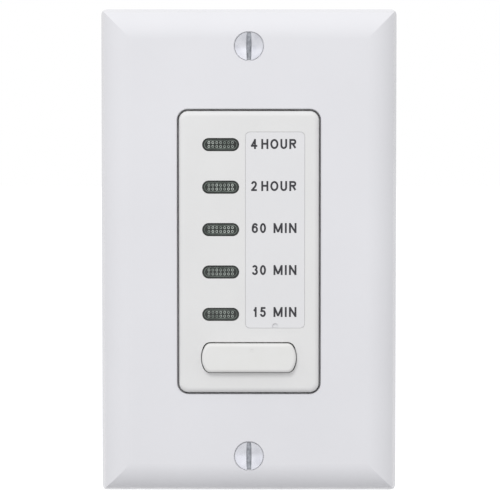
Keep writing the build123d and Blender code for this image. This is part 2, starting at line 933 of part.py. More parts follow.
with BuildPart() as key_switch:
    with BuildSketch(facing(control_board_front)):
        with Locations((0, button_z)):
            RectangleRounded(key_size, key_size, key_corner)
    extrude(amount=control_board_front - key_cap_back)
    with BuildSketch(facing(key_well_back)):
        with Locations((0, button_z)):
            Circle(plunger_foot_radius + key_well_gap)
    extrude(amount=key_well_back - key_cap_back, mode=Mode.SUBTRACT)
finish(key_switch, "key_switch")

with BuildPart() as key_cap:
    with BuildSketch(facing(key_cap_back)):
        with Locations((0, button_z)):
            RectangleRounded(key_size, key_size, key_corner)
            Circle(plunger_radius + plunger_bore_gap, mode=Mode.SUBTRACT)
    extrude(amount=key_cap_thickness)
finish(key_cap, "key_cap")

with BuildPart() as key_plunger:
    with BuildSketch(facing(plunger_foot_back)):
        with Locations((0, button_z)):
            Circle(plunger_foot_radius)
    extrude(amount=plunger_foot_thickness)
    with BuildSketch(facing(plunger_foot_front)):
        with Locations((0, button_z)):
            Circle(plunger_radius)
    extrude(amount=plunger_foot_front - plunger_top)
finish(key_plunger, "key_plunger")

# Timing chip, crystal and chip resistors on the back of the control board
with BuildPart() as microcontroller:
    with BuildSketch(facing(control_board_back + chip_lift)):
        with Locations((chip_x, chip_z)):
            Rectangle(chip_width, chip_length)
    extrude(amount=-chip_depth)
    with BuildSketch(facing(control_board_back)):
        with Locations((chip_x, chip_z)):
            with GridLocations(0, chip_lead_spacing, 1, chip_lead_count):
                Rectangle(chip_width + 2 * chip_lead_reach, chip_lead_width)
    extrude(amount=-chip_lead_thickness)
finish(microcontroller, "microcontroller")

with BuildPart() as timing_crystal:
    with BuildSketch(facing(control_board_back)):
        with Locations((crystal_x, crystal_z)):
            SlotOverall(crystal_length, crystal_width, rotation=90)
    extrude(amount=-crystal_base_depth)
    with BuildSketch(facing(control_board_back + crystal_base_depth)):
        with Locations((crystal_x, crystal_z)):
            SlotOverall(
                crystal_length - 2 * crystal_base_lap,
                crystal_width - 2 * crystal_base_lap,
                rotation=90,
            )
    extrude(amount=crystal_base_depth - crystal_depth)
    fillet(timing_crystal.faces().sort_by(Axis.Y)[-1].edges(), radius=crystal_edge)
finish(timing_crystal, "timing_crystal")

with BuildPart() as chip_resistors:
    with BuildSketch(facing(control_board_back)):
        with Locations((resistor_x, resistor_z)):
            with GridLocations(
                resistor_spacing, resistor_spacing, resistor_column_count, resistor_row_count
            ):
                Rectangle(resistor_width, resistor_length)
    extrude(amount=-resistor_depth)
finish(chip_resistors, "chip_resistors")

# Rear housing: a deep box with a counterbored column in each corner, a pocket
# for each terminal, ledges and pegs for the control board, standoffs for the
# power board, and a gauge for stripped wire in its back
block_back = pocket_end + pocket_wall
terminal_places = [(-1, terminal_z), (-1, -terminal_z), (1, terminal_z)]
block_places = [(side * (block_x + inner_half_width + overrun) / 2, z) for side, z in terminal_places]
pocket_places = [(side * (pocket_x + housing_width / 2 + overrun) / 2, z) for side, z in terminal_places]
tail_places = [(side * (pocket_x + terminal_thickness / 2), z) for side, z in terminal_places]

with BuildPart() as rear_housing:
    with BuildSketch(facing(housing_back)):
        RectangleRounded(housing_width, housing_height, housing_corner)
    extrude(amount=housing_depth)
    fillet(rear_housing.faces().sort_by(Axis.Y)[-1].edges(), radius=housing_back_edge)
    with BuildSketch(facing(floor_front)):
        RectangleRounded(
            2 * inner_half_width, 2 * inner_half_height, housing_corner - housing_wall
        )
    extrude(amount=floor_front - strap_back, mode=Mode.SUBTRACT)
    with BuildSketch(facing(floor_front)):
        with Locations(*cover_screw_places):
            Circle(column_radius)
    extrude(amount=floor_front - strap_back)
    with BuildSketch(facing(block_back)):
        with Locations(*block_places):
            Rectangle(
                inner_half_width + overrun - block_x, 2 * (pocket_half_height + pocket_wall)
            )
        with Locations((inner_half_width - (ledge_block_depth - overrun) / 2, ledge_block_z)):
            Rectangle(ledge_block_depth + overrun, ledge_block_height)
    extrude(amount=block_back - control_board_back)
    with BuildSketch(facing(floor_front)):
        with Locations(*standoff_places):
            Circle(standoff_radius)
    extrude(amount=floor_front - power_board_back)
    with BuildSketch(facing(power_board_back)):
        with Locations(*standoff_places):
            Circle(peg_radius)
    extrude(amount=board_thickness + peg_proud)
    with BuildSketch(facing(control_board_back)):
        with Locations(*control_peg_places):
            Circle(peg_radius)
    extrude(amount=board_thickness + peg_proud)
    with BuildSketch(facing(pocket_end)):
        with Locations(*pocket_places):
            Rectangle(
                pocket_depth + overrun, 2 * pocket_half_height
            )
    extrude(amount=pocket_end - pocket_start, mode=Mode.SUBTRACT)
    with BuildSketch(facing(block_back)):
        with Locations(*tail_places):
            Rectangle(
                terminal_thickness + 2 * terminal_gap, terminal_tail_width + 2 * terminal_gap
            )
    extrude(amount=pocket_wall, mode=Mode.SUBTRACT)
    for side, z in terminal_places:
        with BuildSketch(side_plane(side * pocket_x)):
            with Locations((terminal_screw_depth, z)):
                Circle(terminal_screw_radius + screw_running_gap)
        extrude(amount=-side * terminal_screw_reach, mode=Mode.SUBTRACT)
    with BuildSketch(facing(strap_back)):
        with Locations(*cover_screw_places):
            Circle(housing_screw_radius + housing_screw_gap)
    extrude(amount=-housing_depth, mode=Mode.SUBTRACT)
    with BuildSketch(facing(screw_seat)):
        with Locations(*cover_screw_places):
            Circle(counterbore_radius)
    extrude(amount=-housing_depth, mode=Mode.SUBTRACT)
    with BuildSketch(facing(housing_back)):
        with Locations((0, strip_gauge_z)):
            SlotOverall(strip_gauge_length, strip_gauge_width)
    extrude(amount=strip_gauge_depth, mode=Mode.SUBTRACT)
finish(rear_housing, "rear_housing")

# Housing screws, driven forwards from the bottom of the counterbores
housing_screw = slotted_screw(
    housing_screw_head_radius,
    housing_screw_head_height,
    housing_screw_radius,
    screw_seat - strap_back + pilot_depth - screw_point,
)

with BuildPart() as housing_screws:
    with Locations(*[Location((x, screw_seat, z), (0, 0, 180)) for x, z in cover_screw_places]):
        add(housing_screw)
finish(housing_screws, "housing_screws")

# Side terminals: brass plates whose tails run back to the power board
terminal_front = terminal_screw_depth - terminal_screw_inset
terminal_names = ["line_terminal", "load_terminal", "neutral_terminal"]

for terminal_name, (side, z) in zip(terminal_names, terminal_places):
    with BuildPart() as terminal:
        with BuildSketch(side_plane(side * pocket_x)):
            with Locations((terminal_front + terminal_length / 2, z)):
                Rectangle(terminal_length, terminal_height)
            with Locations((terminal_front + terminal_length, z)):
                Rectangle(
                    power_board_back + tail_proud - terminal_front - terminal_length,
                    terminal_tail_width,
                    align=(Align.MIN, Align.CENTER),
                )
            with Locations((terminal_screw_depth, z)):
                Circle(terminal_screw_radius + screw_running_gap, mode=Mode.SUBTRACT)
        extrude(amount=side * terminal_thickness)
    finish(terminal, terminal_name)

binding_screw = slotted_screw(
    terminal_screw_head_radius,
    terminal_screw_head_height,
    terminal_screw_radius,
    terminal_wire_gap + terminal_thickness + terminal_screw_reach - 2 * terminal_gap,
)
binding_seat = pocket_x + terminal_thickness + terminal_wire_gap

with BuildPart() as terminal_screws:
    for side, z in terminal_places:
        with Locations(Location((side * binding_seat, terminal_screw_depth, z), (0, 0, side * 90))):
            add(binding_screw)
finish(terminal_screws, "terminal_screws")

# Power board
with BuildPart() as power_board:
    with BuildSketch(facing(power_board_back)):
        board_outline()
        with Locations(*standoff_places):
            Circle(peg_radius + peg_gap, mode=Mode.SUBTRACT)
        with BuildSketch(mode=Mode.PRIVATE) as slots:
            link_holes(hole_gap)
            with Locations(*tail_places):
                Rectangle(
                    terminal_thickness + 2 * terminal_gap,
                    terminal_tail_width + 2 * terminal_gap,
                )
        add(slots.sketch, mode=Mode.SUBTRACT)
    extrude(amount=board_thickness)
finish(power_board, "power_board")

# Board link: six straight pins through a spacer block and both boards
with BuildPart() as board_link_header:
    with BuildSketch(facing(power_board_front)):
        with Locations((0, link_z)):
            Rectangle(link_count * link_pin_spacing, link_block_height)
        with BuildSketch(mode=Mode.PRIVATE) as pin_holes:
            link_holes(hole_gap)
        add(pin_holes.sketch, mode=Mode.SUBTRACT)
    extrude(amount=link_block_depth)
finish(board_link_header, "board_link_header")

with BuildPart() as board_link_pins:
    with BuildSketch(facing(power_board_back + link_pin_proud)):
        link_holes(0)
    extrude(amount=power_board_back - control_board_front + 2 * link_pin_proud)
finish(board_link_pins, "board_link_pins")

# Relay: places along it are measured from its middle, towards the hinge
relay_top = power_board_front - relay_height
relay_base_front = power_board_front - relay_base_height
relay_inner_half = relay_length / 2 - relay_wall
hinge_offset = relay_length / 2 - hinge_end
contact_offset = relay_length / 2 - contact_end
bobbin_radius = hinge_offset - yoke_thickness / 2 - bobbin_gap - coil_offset
winding_radius = bobbin_radius * winding_share
bobbin_barrel_radius = bobbin_radius * bobbin_barrel_share
core_radius = bobbin_barrel_radius - core_gap
pole_radius = bobbin_barrel_radius + pole_lap
yoke_foot_front = relay_base_front - yoke_thickness
pole_face = relay_top + pole_drop
pole_back = pole_face + pole_thickness
armature_back = pole_face - armature_gap
armature_front = armature_back - armature_thickness
leaf_front = armature_front - leaf_thickness


def relay_place(across, along):
    """Sketch place in the relay, from its middle."""
    return Locations((relay_x + across, relay_z + along))


with BuildPart() as relay_base:
    with BuildSketch(facing(power_board_front)):
        with relay_place(0, 0):
            RectangleRounded(
                relay_width - 2 * (relay_wall + relay_gap),
                relay_length - 2 * (relay_wall + relay_gap),
                relay_corner / 2,
            )
    extrude(amount=relay_base_height)
finish(relay_base, "relay_base")

with BuildPart() as relay_cover:
    with BuildSketch(facing(power_board_front)):
        with relay_place(0, 0):
            RectangleRounded(relay_width, relay_length, relay_corner)
    extrude(amount=relay_height)
    fillet(relay_cover.faces().sort_by(Axis.Y)[0].edges(), radius=relay_corner / 2)
    with BuildSketch(facing(power_board_front)):
        with relay_place(0, 0):
            Rectangle(relay_width - 2 * relay_wall, relay_length - 2 * relay_wall)
    extrude(amount=relay_height - relay_wall, mode=Mode.SUBTRACT)
finish(relay_cover, "relay_cover")

# Relay yoke: an iron angle with the core riveted into its foot
yoke_end = hinge_offset + yoke_thickness / 2
yoke_start = coil_offset - pole_radius

with BuildPart() as relay_yoke:
    with BuildSketch(facing(relay_base_front)):
        with relay_place(0, (yoke_start + yoke_end) / 2):
            Rectangle(yoke_width, yoke_end - yoke_start)
    extrude(amount=yoke_thickness)
    with BuildSketch(facing(relay_base_front)):
        with relay_place(0, hinge_offset):
            Rectangle(yoke_width, yoke_thickness)
    extrude(amount=relay_base_front - armature_back - hinge_gap)
    with BuildSketch(facing(yoke_foot_front)):
        with relay_place(0, coil_offset):
            Circle(core_radius)
    extrude(amount=yoke_foot_front - pole_face)
    with BuildSketch(facing(pole_back)):
        with relay_place(0, coil_offset):
            Circle(pole_radius)
    extrude(amount=pole_thickness)
finish(relay_yoke, "relay_yoke")

with BuildPart() as relay_bobbin:
    with BuildSketch(facing(yoke_foot_front)):
        with relay_place(0, coil_offset):
            Circle(bobbin_barrel_radius)
    extrude(amount=yoke_foot_front - pole_back)
    for flange_back in (yoke_foot_front, pole_back + bobbin_flange):
        with BuildSketch(facing(flange_back)):
            with relay_place(0, coil_offset):
                Circle(bobbin_radius)
        extrude(amount=bobbin_flange)
    with BuildSketch(facing(yoke_foot_front)):
        with relay_place(0, coil_offset):
            Circle(core_radius + relay_gap)
    extrude(amount=yoke_foot_front - pole_back, mode=Mode.SUBTRACT)
finish(relay_bobbin, "relay_bobbin")

with BuildPart() as relay_coil:
    with BuildSketch(facing(yoke_foot_front - bobbin_flange)):
        with relay_place(0, coil_offset):
            Circle(winding_radius)
            Circle(bobbin_barrel_radius, mode=Mode.SUBTRACT)
    extrude(amount=yoke_foot_front - pole_back - 2 * bobbin_flange)
finish(relay_coil, "relay_coil")

# Relay armature: an iron plate that tips on the yoke's edge
with BuildPart() as relay_armature:
    with BuildSketch(facing(armature_back)):
        with relay_place(0, (hinge_offset + armature_tail - armature_reach) / 2):
            Rectangle(armature_width, hinge_offset + armature_tail + armature_reach)
    extrude(amount=armature_thickness)
finish(relay_armature, "relay_armature")

# Moving contact: a leaf on the armature with a contact button on each face
leaf_end = contact_offset + contact_radius
leaf_start = leaf_lap - armature_reach

with BuildPart() as relay_contact_spring:
    with BuildSketch(facing(armature_front)):
        with relay_place(0, (leaf_start - leaf_end) / 2):
            Rectangle(leaf_width, leaf_start + leaf_end)
    extrude(amount=leaf_thickness)
    with BuildSketch(facing(armature_front + contact_height)):
        with relay_place(0, -contact_offset):
            Circle(contact_radius)
    extrude(amount=2 * contact_height + leaf_thickness)
finish(relay_contact_spring, "relay_contact_spring")

# Fixed contacts: one stands clear in front of the moving one at rest, and the
# other is met from the front when the armature is pulled in
swing = (hinge_offset + leaf_end) * math.sin(math.radians(armature_angle))
rest_contact_back = leaf_front - contact_height - contact_gap
made_contact_front = armature_front + contact_height + swing + contact_gap
leg_middle = relay_inner_half - contact_leg_inset - contact_leg_thickness / 2
arm_end = relay_inner_half - contact_leg_inset
arm_start = contact_offset - contact_radius

with BuildPart() as relay_contacts:
    for hand, button_back, plate_back in (
        (-1, rest_contact_back, rest_contact_back - contact_height),
        (
            1,
            made_contact_front + contact_height,
            made_contact_front + contact_height + contact_leg_thickness,
        ),
    ):
        with BuildSketch(facing(button_back)):
            with relay_place(0, -contact_offset):
                Circle(contact_radius)
        extrude(amount=contact_height)
        arm_half = (contact_leg_x + contact_leg_width / 2 + contact_radius) / 2
        with BuildSketch(facing(plate_back)):
            with relay_place(hand * (arm_half - contact_radius), -(arm_start + arm_end) / 2):
                Rectangle(2 * arm_half, arm_end - arm_start)
        extrude(amount=contact_leg_thickness)
        with BuildSketch(facing(relay_base_front)):
            with relay_place(hand * contact_leg_x, -leg_middle):
                Rectangle(contact_leg_width, contact_leg_thickness)
        extrude(amount=relay_base_front - plate_back)
finish(relay_contacts, "relay_contacts")

# Capacitors
with BuildPart() as film_capacitor:
    with BuildSketch(facing(power_board_front)):
        with Locations((film_x, film_z)):
            Rectangle(film_width, film_height)
    extrude(amount=film_depth)
    fillet(film_capacitor.edges().filter_by(Axis.Y), radius=film_edge)
    fillet(film_capacitor.faces().sort_by(Axis.Y)[0].edges(), radius=film_edge)
finish(film_capacitor, "film_capacitor")

with BuildPart() as storage_capacitor:
    with BuildSketch(Plane.XY):
        with BuildLine():
            Polyline(
                (0, 0),
                (can_radius, 0),
                (can_radius, -can_bead_place + can_bead_height / 2),
                (can_radius - can_bead_depth, -can_bead_place),
                (can_radius, -can_bead_place - can_bead_height / 2),
                (can_radius, can_edge - can_length),
                (can_radius - can_edge, -can_length),
                (0, -can_length),
                close=True,
            )
        make_face()
    revolve(axis=Axis.Y)
storage_capacitor.part.locate(Location((can_x, power_board_front, can_z)))
finish(storage_capacitor, "storage_capacitor")

# Surge absorber: a coated disc that stands on its two leads
disc_depth = power_board_front - disc_lead_length - disc_radius

with BuildPart() as surge_absorber:
    with BuildSketch(Plane.XY.offset(disc_z - disc_thickness / 2)):
        with Locations((disc_x, disc_depth)):
            Circle(disc_radius)
    extrude(amount=disc_thickness)
    fillet(surge_absorber.edges(), radius=disc_edge)
    with BuildSketch(facing(power_board_front)):
        with Locations((disc_x, disc_z)):
            with GridLocations(disc_radius, 0, 2, 1):
                Circle(lead_radius)
    extrude(amount=disc_lead_length + disc_radius)
finish(surge_absorber, "surge_absorber")

# Rectifier diodes and the fusible resistor, lying on the power board
diode_depth = power_board_front - part_lift - diode_radius
diode = axial_part(
    [(diode_radius, -diode_length / 2), (diode_radius, diode_length / 2)],
    diode_length / 2,
    diode_lead_reach,
    diode_depth,
)

with BuildPart() as rectifier_diodes:
    with Locations(
        *[(diode_first_x + index * diode_spacing, diode_depth, diode_z) for index in range(diode_count)]
    ):
        add(diode)
finish(rectifier_diodes, "rectifier_diodes")

fuse_depth = power_board_front - part_lift - fuse_radius
fuse_half = fuse_length / 2
fuse_barrel = fuse_radius - fuse_waist
fusible = axial_part(
    [
        (fuse_radius, -fuse_half),
        (fuse_radius, fuse_cap - fuse_half),
        (fuse_barrel, fuse_cap + fuse_waist - fuse_half),
        (fuse_barrel, fuse_half - fuse_cap - fuse_waist),
        (fuse_radius, fuse_half - fuse_cap),
        (fuse_radius, fuse_half),
    ],
    fuse_half,
    fuse_lead_reach,
    fuse_depth,
)

with BuildPart() as fuse_resistor:
    with Locations((fuse_x, fuse_depth, fuse_z)):
        add(fusible)
finish(fuse_resistor, "fuse_resistor")
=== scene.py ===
import math

import bmesh
import bpy
from mathutils import Matrix, Vector


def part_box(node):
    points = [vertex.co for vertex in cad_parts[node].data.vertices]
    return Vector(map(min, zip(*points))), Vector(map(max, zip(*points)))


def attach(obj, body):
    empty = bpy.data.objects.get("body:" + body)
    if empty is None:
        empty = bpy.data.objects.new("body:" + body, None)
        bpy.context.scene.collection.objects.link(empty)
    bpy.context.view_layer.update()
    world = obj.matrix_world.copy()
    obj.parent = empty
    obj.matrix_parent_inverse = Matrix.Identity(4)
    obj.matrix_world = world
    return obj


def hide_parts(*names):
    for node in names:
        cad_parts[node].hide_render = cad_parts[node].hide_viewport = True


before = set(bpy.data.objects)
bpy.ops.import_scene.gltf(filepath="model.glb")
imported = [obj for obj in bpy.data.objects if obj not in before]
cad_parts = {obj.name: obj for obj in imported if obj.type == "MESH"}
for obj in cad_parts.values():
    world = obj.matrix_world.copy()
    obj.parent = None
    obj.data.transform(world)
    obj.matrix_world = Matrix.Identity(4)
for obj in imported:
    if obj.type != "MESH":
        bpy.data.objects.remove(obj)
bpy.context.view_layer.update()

# Camera: it stands about 0.7 m in front of the switch and a little above it, so that the
# plate's outline takes the same place in the 500 pixel square picture as in the photograph.
mm = 0.001
picture_width = 500
plate_left_pixel = 102.0
plate_right_pixel = 395.9
plate_middle_height_pixel = 250.5
camera_distance = 690 * mm
camera_rise = math.radians(3.2)
sensor_width = 36  # in millimetres, the unit of Blender's lenses
plate_low, plate_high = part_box("wall_plate")
pixel = (plate_high.x - plate_low.x) / (plate_right_pixel - plate_left_pixel)
plate_middle_pixel = (plate_left_pixel + plate_right_pixel) / 2


def put(name, data):
    """A new object in the scene that shows the data."""
    made = bpy.data.objects.new(name, data)
    bpy.context.scene.collection.objects.link(made)
    return made


camera_data = bpy.data.cameras.new("camera")
camera_data.sensor_width = sensor_width
camera_data.lens = sensor_width * camera_distance / (picture_width * pixel)
camera = put("camera", camera_data)
camera.rotation_euler = (math.pi / 2 - camera_rise, 0, 0)
aside = (picture_width / 2 - plate_middle_pixel) * pixel
above = (plate_middle_height_pixel - picture_width / 2) * pixel
camera.location = camera.rotation_euler.to_matrix() @ Vector((aside, above, camera_distance))
bpy.context.scene.camera = camera
bpy.context.scene.view_settings.view_transform = "Standard"

# Studio: a pale paper floor below the switch, an even surround, and one broad lamp in front
# of it, above and a little to the left, which leaves the lower and right bevels greyer.
white = (1, 1, 1, 1)
floor_drop = 30 * mm
floor_width = 6000 * mm
floor_tint = "#c6c6c7"
seen_floor_tint = "#e4e4e6"
seen_floor_lift = 0.45
surround_strength = 0.8
lamp_place = (-185 * mm, -790 * mm, 580 * mm)
lamp_width = 350 * mm
lamp_watts = 3.7


def linear(hex_colour):
    """Linear red, green, blue and alpha of an sRGB hex colour."""
    shares = [int(hex_colour[i : i + 2], 16) / 255 for i in (1, 3, 5)]
    return [s / 12.92 if s <= 0.04045 else ((s + 0.055) / 1.055) ** 2.4 for s in shares] + [1]


def add(tree, kind, inputs=None, links=None, **settings):
    """Adds a node to a tree, with its settings, its inputs' values and its links."""
    made = tree.nodes.new("ShaderNode" + kind)
    for name, value in settings.items():
        setattr(made, name, value)
    for name, value in (inputs or {}).items():
        made.inputs[name].default_value = value
    for name, output in (links or {}).items():
        tree.links.new(output, made.inputs[name])
    return made


def empty_tree(data):
    """The node tree of a material or of the world, with nothing in it yet."""
    data.use_nodes = True
    data.node_tree.nodes.clear()
    return data.node_tree


def shed_or_seen(tree, shed, seen):
    """Mixes two shaders: one for the light that is shed on things, and one for what is seen
    by the camera, in reflections and through clear pieces."""
    path = add(tree, "LightPath").outputs
    share = path["Is Camera Ray"]
    for ray in ("Is Glossy Ray", "Is Transmission Ray"):
        share = add(tree, "Math", links={0: share, 1: path[ray]}, operation="MAXIMUM").outputs[0]
    links = {0: share, 1: shed.outputs[0], 2: seen.outputs[0]}
    return add(tree, "MixShader", links=links).outputs[0]


world = bpy.data.worlds.new("white_surround")
bpy.context.scene.world = world
tree = empty_tree(world)
soft = add(tree, "Background", {"Color": white, "Strength": surround_strength})
bright = add(tree, "Background", {"Color": white, "Strength": 1})
add(tree, "OutputWorld", links={"Surface": shed_or_seen(tree, soft, bright)})

# Matt paper: seen nearly white, while it throws less light back up on the switch.
paper = bpy.data.materials.new("matt_white_paper")
tree = empty_tree(paper)
under = add(tree, "BsdfDiffuse", {"Color": linear(floor_tint)})
top = add(tree, "BsdfDiffuse", {"Color": linear(seen_floor_tint)})
lift = add(tree, "Emission", {"Color": white, "Strength": seen_floor_lift})
lit = add(tree, "AddShader", links={0: top.outputs[0], 1: lift.outputs[0]})
add(tree, "OutputMaterial", links={"Surface": shed_or_seen(tree, under, lit)})

floor_height = plate_low.z - floor_drop
floor_half = floor_width / 2
corners = [(-1, -1), (1, -1), (1, 1), (-1, 1)]
floor_points = [(x * floor_half, y * floor_half, floor_height) for x, y in corners]
floor_mesh = bpy.data.meshes.new("floor")
floor_mesh.from_pydata(floor_points, [], [(0, 1, 2, 3)])
floor_mesh.materials.append(paper)
floor = put("floor", floor_mesh)

lamp_data = bpy.data.lights.new("soft_lamp", "AREA")
lamp_data.energy = lamp_watts
lamp_data.size = lamp_width
lamp = put("soft_lamp", lamp_data)
lamp.location = lamp_place
lamp.rotation_euler = Vector(lamp_place).to_track_quat("Z", "Y").to_euler()
lamp.visible_camera = False
lamp.visible_glossy = False

# Wall plate: a hollow moulding of hard white thermoplastic from a polished tool, with
# rolled edges. It is held on the strap by its two screws alone.
plate_tint = "#e2e2e6"
plate_cloud_tint = "#e0e0e4"
plate_cloud_size = 22 * mm
plate_gloss_size = 6.4 * mm
plate_peel_size = 1.6 * mm
plate_peel_height = 0.0006 * mm
cloud_shares = (0.35, 0.65)  # the noise between these is spread over the whole range


def surface(name, tint, **sockets):
    """A new material of one tint, its shader, and the place on the object in metres."""
    made = bpy.data.materials.new(name)
    tree = empty_tree(made)
    inputs = {socket.replace("_", " "): value for socket, value in sockets.items()}
    shader = add(tree, "BsdfPrincipled", {"Base Color": linear(tint)} | inputs)
    add(tree, "OutputMaterial", links={"Surface": shader.outputs[0]})
    return made, shader, add(tree, "TexCoord").outputs["Object"]


def cloud(shader, place, size, socket, low, high, detail=3):
    """Varies a socket of the shader between two values or colours, in clouds of one real size."""
    tree = shader.id_data
    noise = add(tree, "TexNoise", {"Scale": 1 / size, "Detail": detail}, {"Vector": place})
    least, most = cloud_shares
    if isinstance(low, str):
        ramp = add(tree, "ValToRGB", links={"Fac": noise.outputs["Fac"]})
        first, last = ramp.color_ramp.elements
        first.color, first.position = linear(low), least
        last.color, last.position = linear(high), most
        output = ramp.outputs[0]
    else:
        limits = {"From Min": least, "From Max": most, "To Min": low, "To Max": high}
        output = add(tree, "MapRange", limits, {"Value": noise.outputs["Fac"]}).outputs[0]
    tree.links.new(output, shader.inputs[socket])


def grain(shader, place, size, height, detail=2):
    """Raises the surface in fine bumps of one real size and height."""
    tree = shader.id_data
    noise = add(tree, "TexNoise", {"Scale": 1 / size, "Detail": detail}, {"Vector": place})
    bump = add(tree, "Bump", {"Strength": 1, "Distance": height}, {"Height": noise.outputs["Fac"]})
    tree.links.new(bump.outputs[0], shader.inputs["Normal"])


def dress(material, *names):
    """Gives construction pieces their finish."""
    for name in names:
        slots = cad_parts[name].data.materials
        slots.clear()
        slots.append(material)


# Polished white thermoplastic: a hard gloss with the faint orange peel of its tool.
plate_plastic, shader, place = surface(
    "polished_white_thermoplastic", plate_tint, Roughness=0.24, IOR=1.46
)
cloud(shader, place, plate_cloud_size, "Base Color", plate_cloud_tint, plate_tint)
cloud(shader, place, plate_gloss_size, "Roughness", 0.21, 0.27)
grain(shader, place, plate_peel_size, plate_peel_height)
dress(plate_plastic, "wall_plate")

# Plate screws: oval countersunk steel screws with one slot, nickel plated, driven upright
# through the plate's countersinks into the strap. Their threads are rolled.
nickel_tint = "#d6d7dd"
nickel_dull_tint = "#c7c8cf"
nickel_cloud_size = 2.4 * mm
nickel_scratch_size = 0.3 * mm
nickel_scratch_height = 0.0004 * mm
# The slot tints are painted shade: the slot's faces are coloured darker to stand for the shade
# inside it.
painted_slot_shade_tint = "#b4b7bd"
painted_slot_deep_shade_tint = "#92959b"
slot_shade_cloud_size = 0.8 * mm
plate_head_radius = 3.32 * mm
plate_head_dome = 0.9 * mm
plate_head_bulge = 0.22 * mm
plate_head_rim = 0.12 * mm
plate_cone_depth = 1.9 * mm
plate_shank_radius = 1.7 * mm
plate_slot_width = 1.2 * mm
plate_slot_depth = 1.25 * mm
head_tip_radius = 0.05 * mm
slot_floor_share = 0.75  # of the slot's width at the top of the head
slot_reach_share = 1.5  # of the head's radius, so that the slot runs right across
slot_fit_share = 1.001  # faces this near to the slot's sides and floor belong to it
machine_pitch = 0.8 * mm
thread_share = 0.37
screw_point = 0.6 * mm
screw_sides = 28
thread_rows = 6
sharp_angle = math.radians(38)
head_forward, head_backward = 0, 180  # degrees about the upright

# Bright nickel plate: a cool mirror, softened by barrel plating and the driver's marks.
nickel_plate, shader, place = surface(
    "barrel_plated_nickel", nickel_tint, Roughness=0.3, Metallic=1
)
cloud(shader, place, nickel_cloud_size, "Base Color", nickel_dull_tint, nickel_tint)
cloud(shader, place, nickel_cloud_size / 2, "Roughness", 0.24, 0.34)
grain(shader, place, nickel_scratch_size, nickel_scratch_height, detail=4)
dress(nickel_plate, "plate_screws", "timing_crystal", "neutral_terminal")

# Slot walls: the same plating, tinted a darker grey in soft clouds as painted shade inside the
# slot.
nickel_slot_shade, shader, place = surface("nickel_slot_painted_shade", painted_slot_shade_tint, Roughness=0.5, Metallic=1)
cloud(shader, place, slot_shade_cloud_size, "Base Color", painted_slot_deep_shade_tint, painted_slot_shade_tint)


def mesh_data(name, mesh):
    """Keeps worked geometry as the data of an object."""
    data = bpy.data.meshes.new(name)
    mesh.to_mesh(data)
    mesh.free()
    return data


def finished(name, mesh, materials, body):
    """Turns worked geometry into a piece with its finishes, on its body."""
    bmesh.ops.recalc_face_normals(mesh, faces=mesh.faces)
    data = mesh_data(name, mesh)
    for material in materials:
        data.materials.append(material)
    piece = put(name, data)
    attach(piece, body)
    return piece


def arc(start, end, bulge, steps=8):
    """Points of a shallow arc between two points of a profile, bulging outwards."""
    start, end = Vector(start), Vector(end)
    chord = end - start
    side = Vector((chord.y, -chord.x)).normalized()
    points = []
    for step in range(steps + 1):
        share = step / steps
        points.append(start + chord * share + side * bulge * 4 * share * (1 - share))
    return [tuple(point) for point in points]


def thread_rings(radius, start, end, pitch):
    """Rings of (radius, depth) points that wind a rolled thread down to a screw's point."""
    rings = []
    count = round((end - start) / pitch * thread_rows)
    for row in range(1, count + 1):
        depth = start + (end - start) * row / count
        grow = min(1, (depth - start) / pitch)
        taper = max(0, depth - end + screw_point)
        ring = []
        for side in range(screw_sides):
            phase = (depth / pitch - side / screw_sides) % 1
            groove = pitch * thread_share * abs(2 * phase - 1) * grow
            ring.append((radius - groove - taper, depth))
        rings.append(ring)
    return rings


def turned(rings):
    """Closed geometry round +Y from rings of (radius, depth) points."""
    mesh = bmesh.new()
    loops = []
    for ring in rings:
        loop = []
        for side, (reach, depth) in enumerate(ring):
            turn = 2 * math.pi * side / screw_sides
            loop.append(mesh.verts.new((reach * math.cos(turn), depth, reach * math.sin(turn))))
        loops.append(loop)
    for here, there in zip(loops, loops[1:]):
        for side in range(screw_sides):
            after = (side + 1) % screw_sides
            mesh.faces.new((here[side], here[after], there[after], there[side]))
    mesh.faces.new(loops[0])
    mesh.faces.new(loops[-1])
    bmesh.ops.recalc_face_normals(mesh, faces=mesh.faces)
    return mesh


def slot_half(width, sunk):
    """Half the width of a slot with leaning sides, at a share of its depth."""
    return width / 2 * (1 - (1 - slot_floor_share) * sunk)


def turned_screw(profile, radius, length, pitch, slot_width, slot_depth):
    """One screw along +Y: a turned head from its profile of (radius, depth) points, cut with an
    upright slot, then a rolled thread to its point. The slot's faces take the second finish."""
    head_top, neck = profile[0][1], profile[-1][1]
    head_rings = [[point] * screw_sides for point in profile]
    mesh = turned(head_rings + thread_rings(radius, neck, length, pitch))
    cutter = bmesh.new()
    bmesh.ops.create_cube(cutter, size=2)
    slot_reach = slot_reach_share * max(reach for reach, depth in profile)
    for vert in cutter.verts:
        x, sunk, z = vert.co
        vert.co = (x * slot_half(slot_width, sunk), head_top + sunk * slot_depth, z * slot_reach)
    blank = put("screw_blank", mesh_data("screw_blank", mesh))
    bar = put("slot_bar", mesh_data("slot_bar", cutter))
    cut = blank.modifiers.new("slot", "BOOLEAN")
    cut.object = bar
    cut.operation = "DIFFERENCE"
    cut.solver = "EXACT"
    worked = blank.evaluated_get(bpy.context.evaluated_depsgraph_get())
    screw = bmesh.new()
    screw.from_mesh(worked.to_mesh())
    worked.to_mesh_clear()
    bpy.data.objects.remove(blank)
    bpy.data.objects.remove(bar)
    for face in screw.faces:
        middle = face.calc_center_median()
        sunk = (middle.y - head_top) / slot_depth
        side = slot_half(slot_width, sunk) * slot_fit_share
        face.material_index = int(abs(middle.x) < side and sunk < slot_fit_share)
        face.smooth = True
    return screw


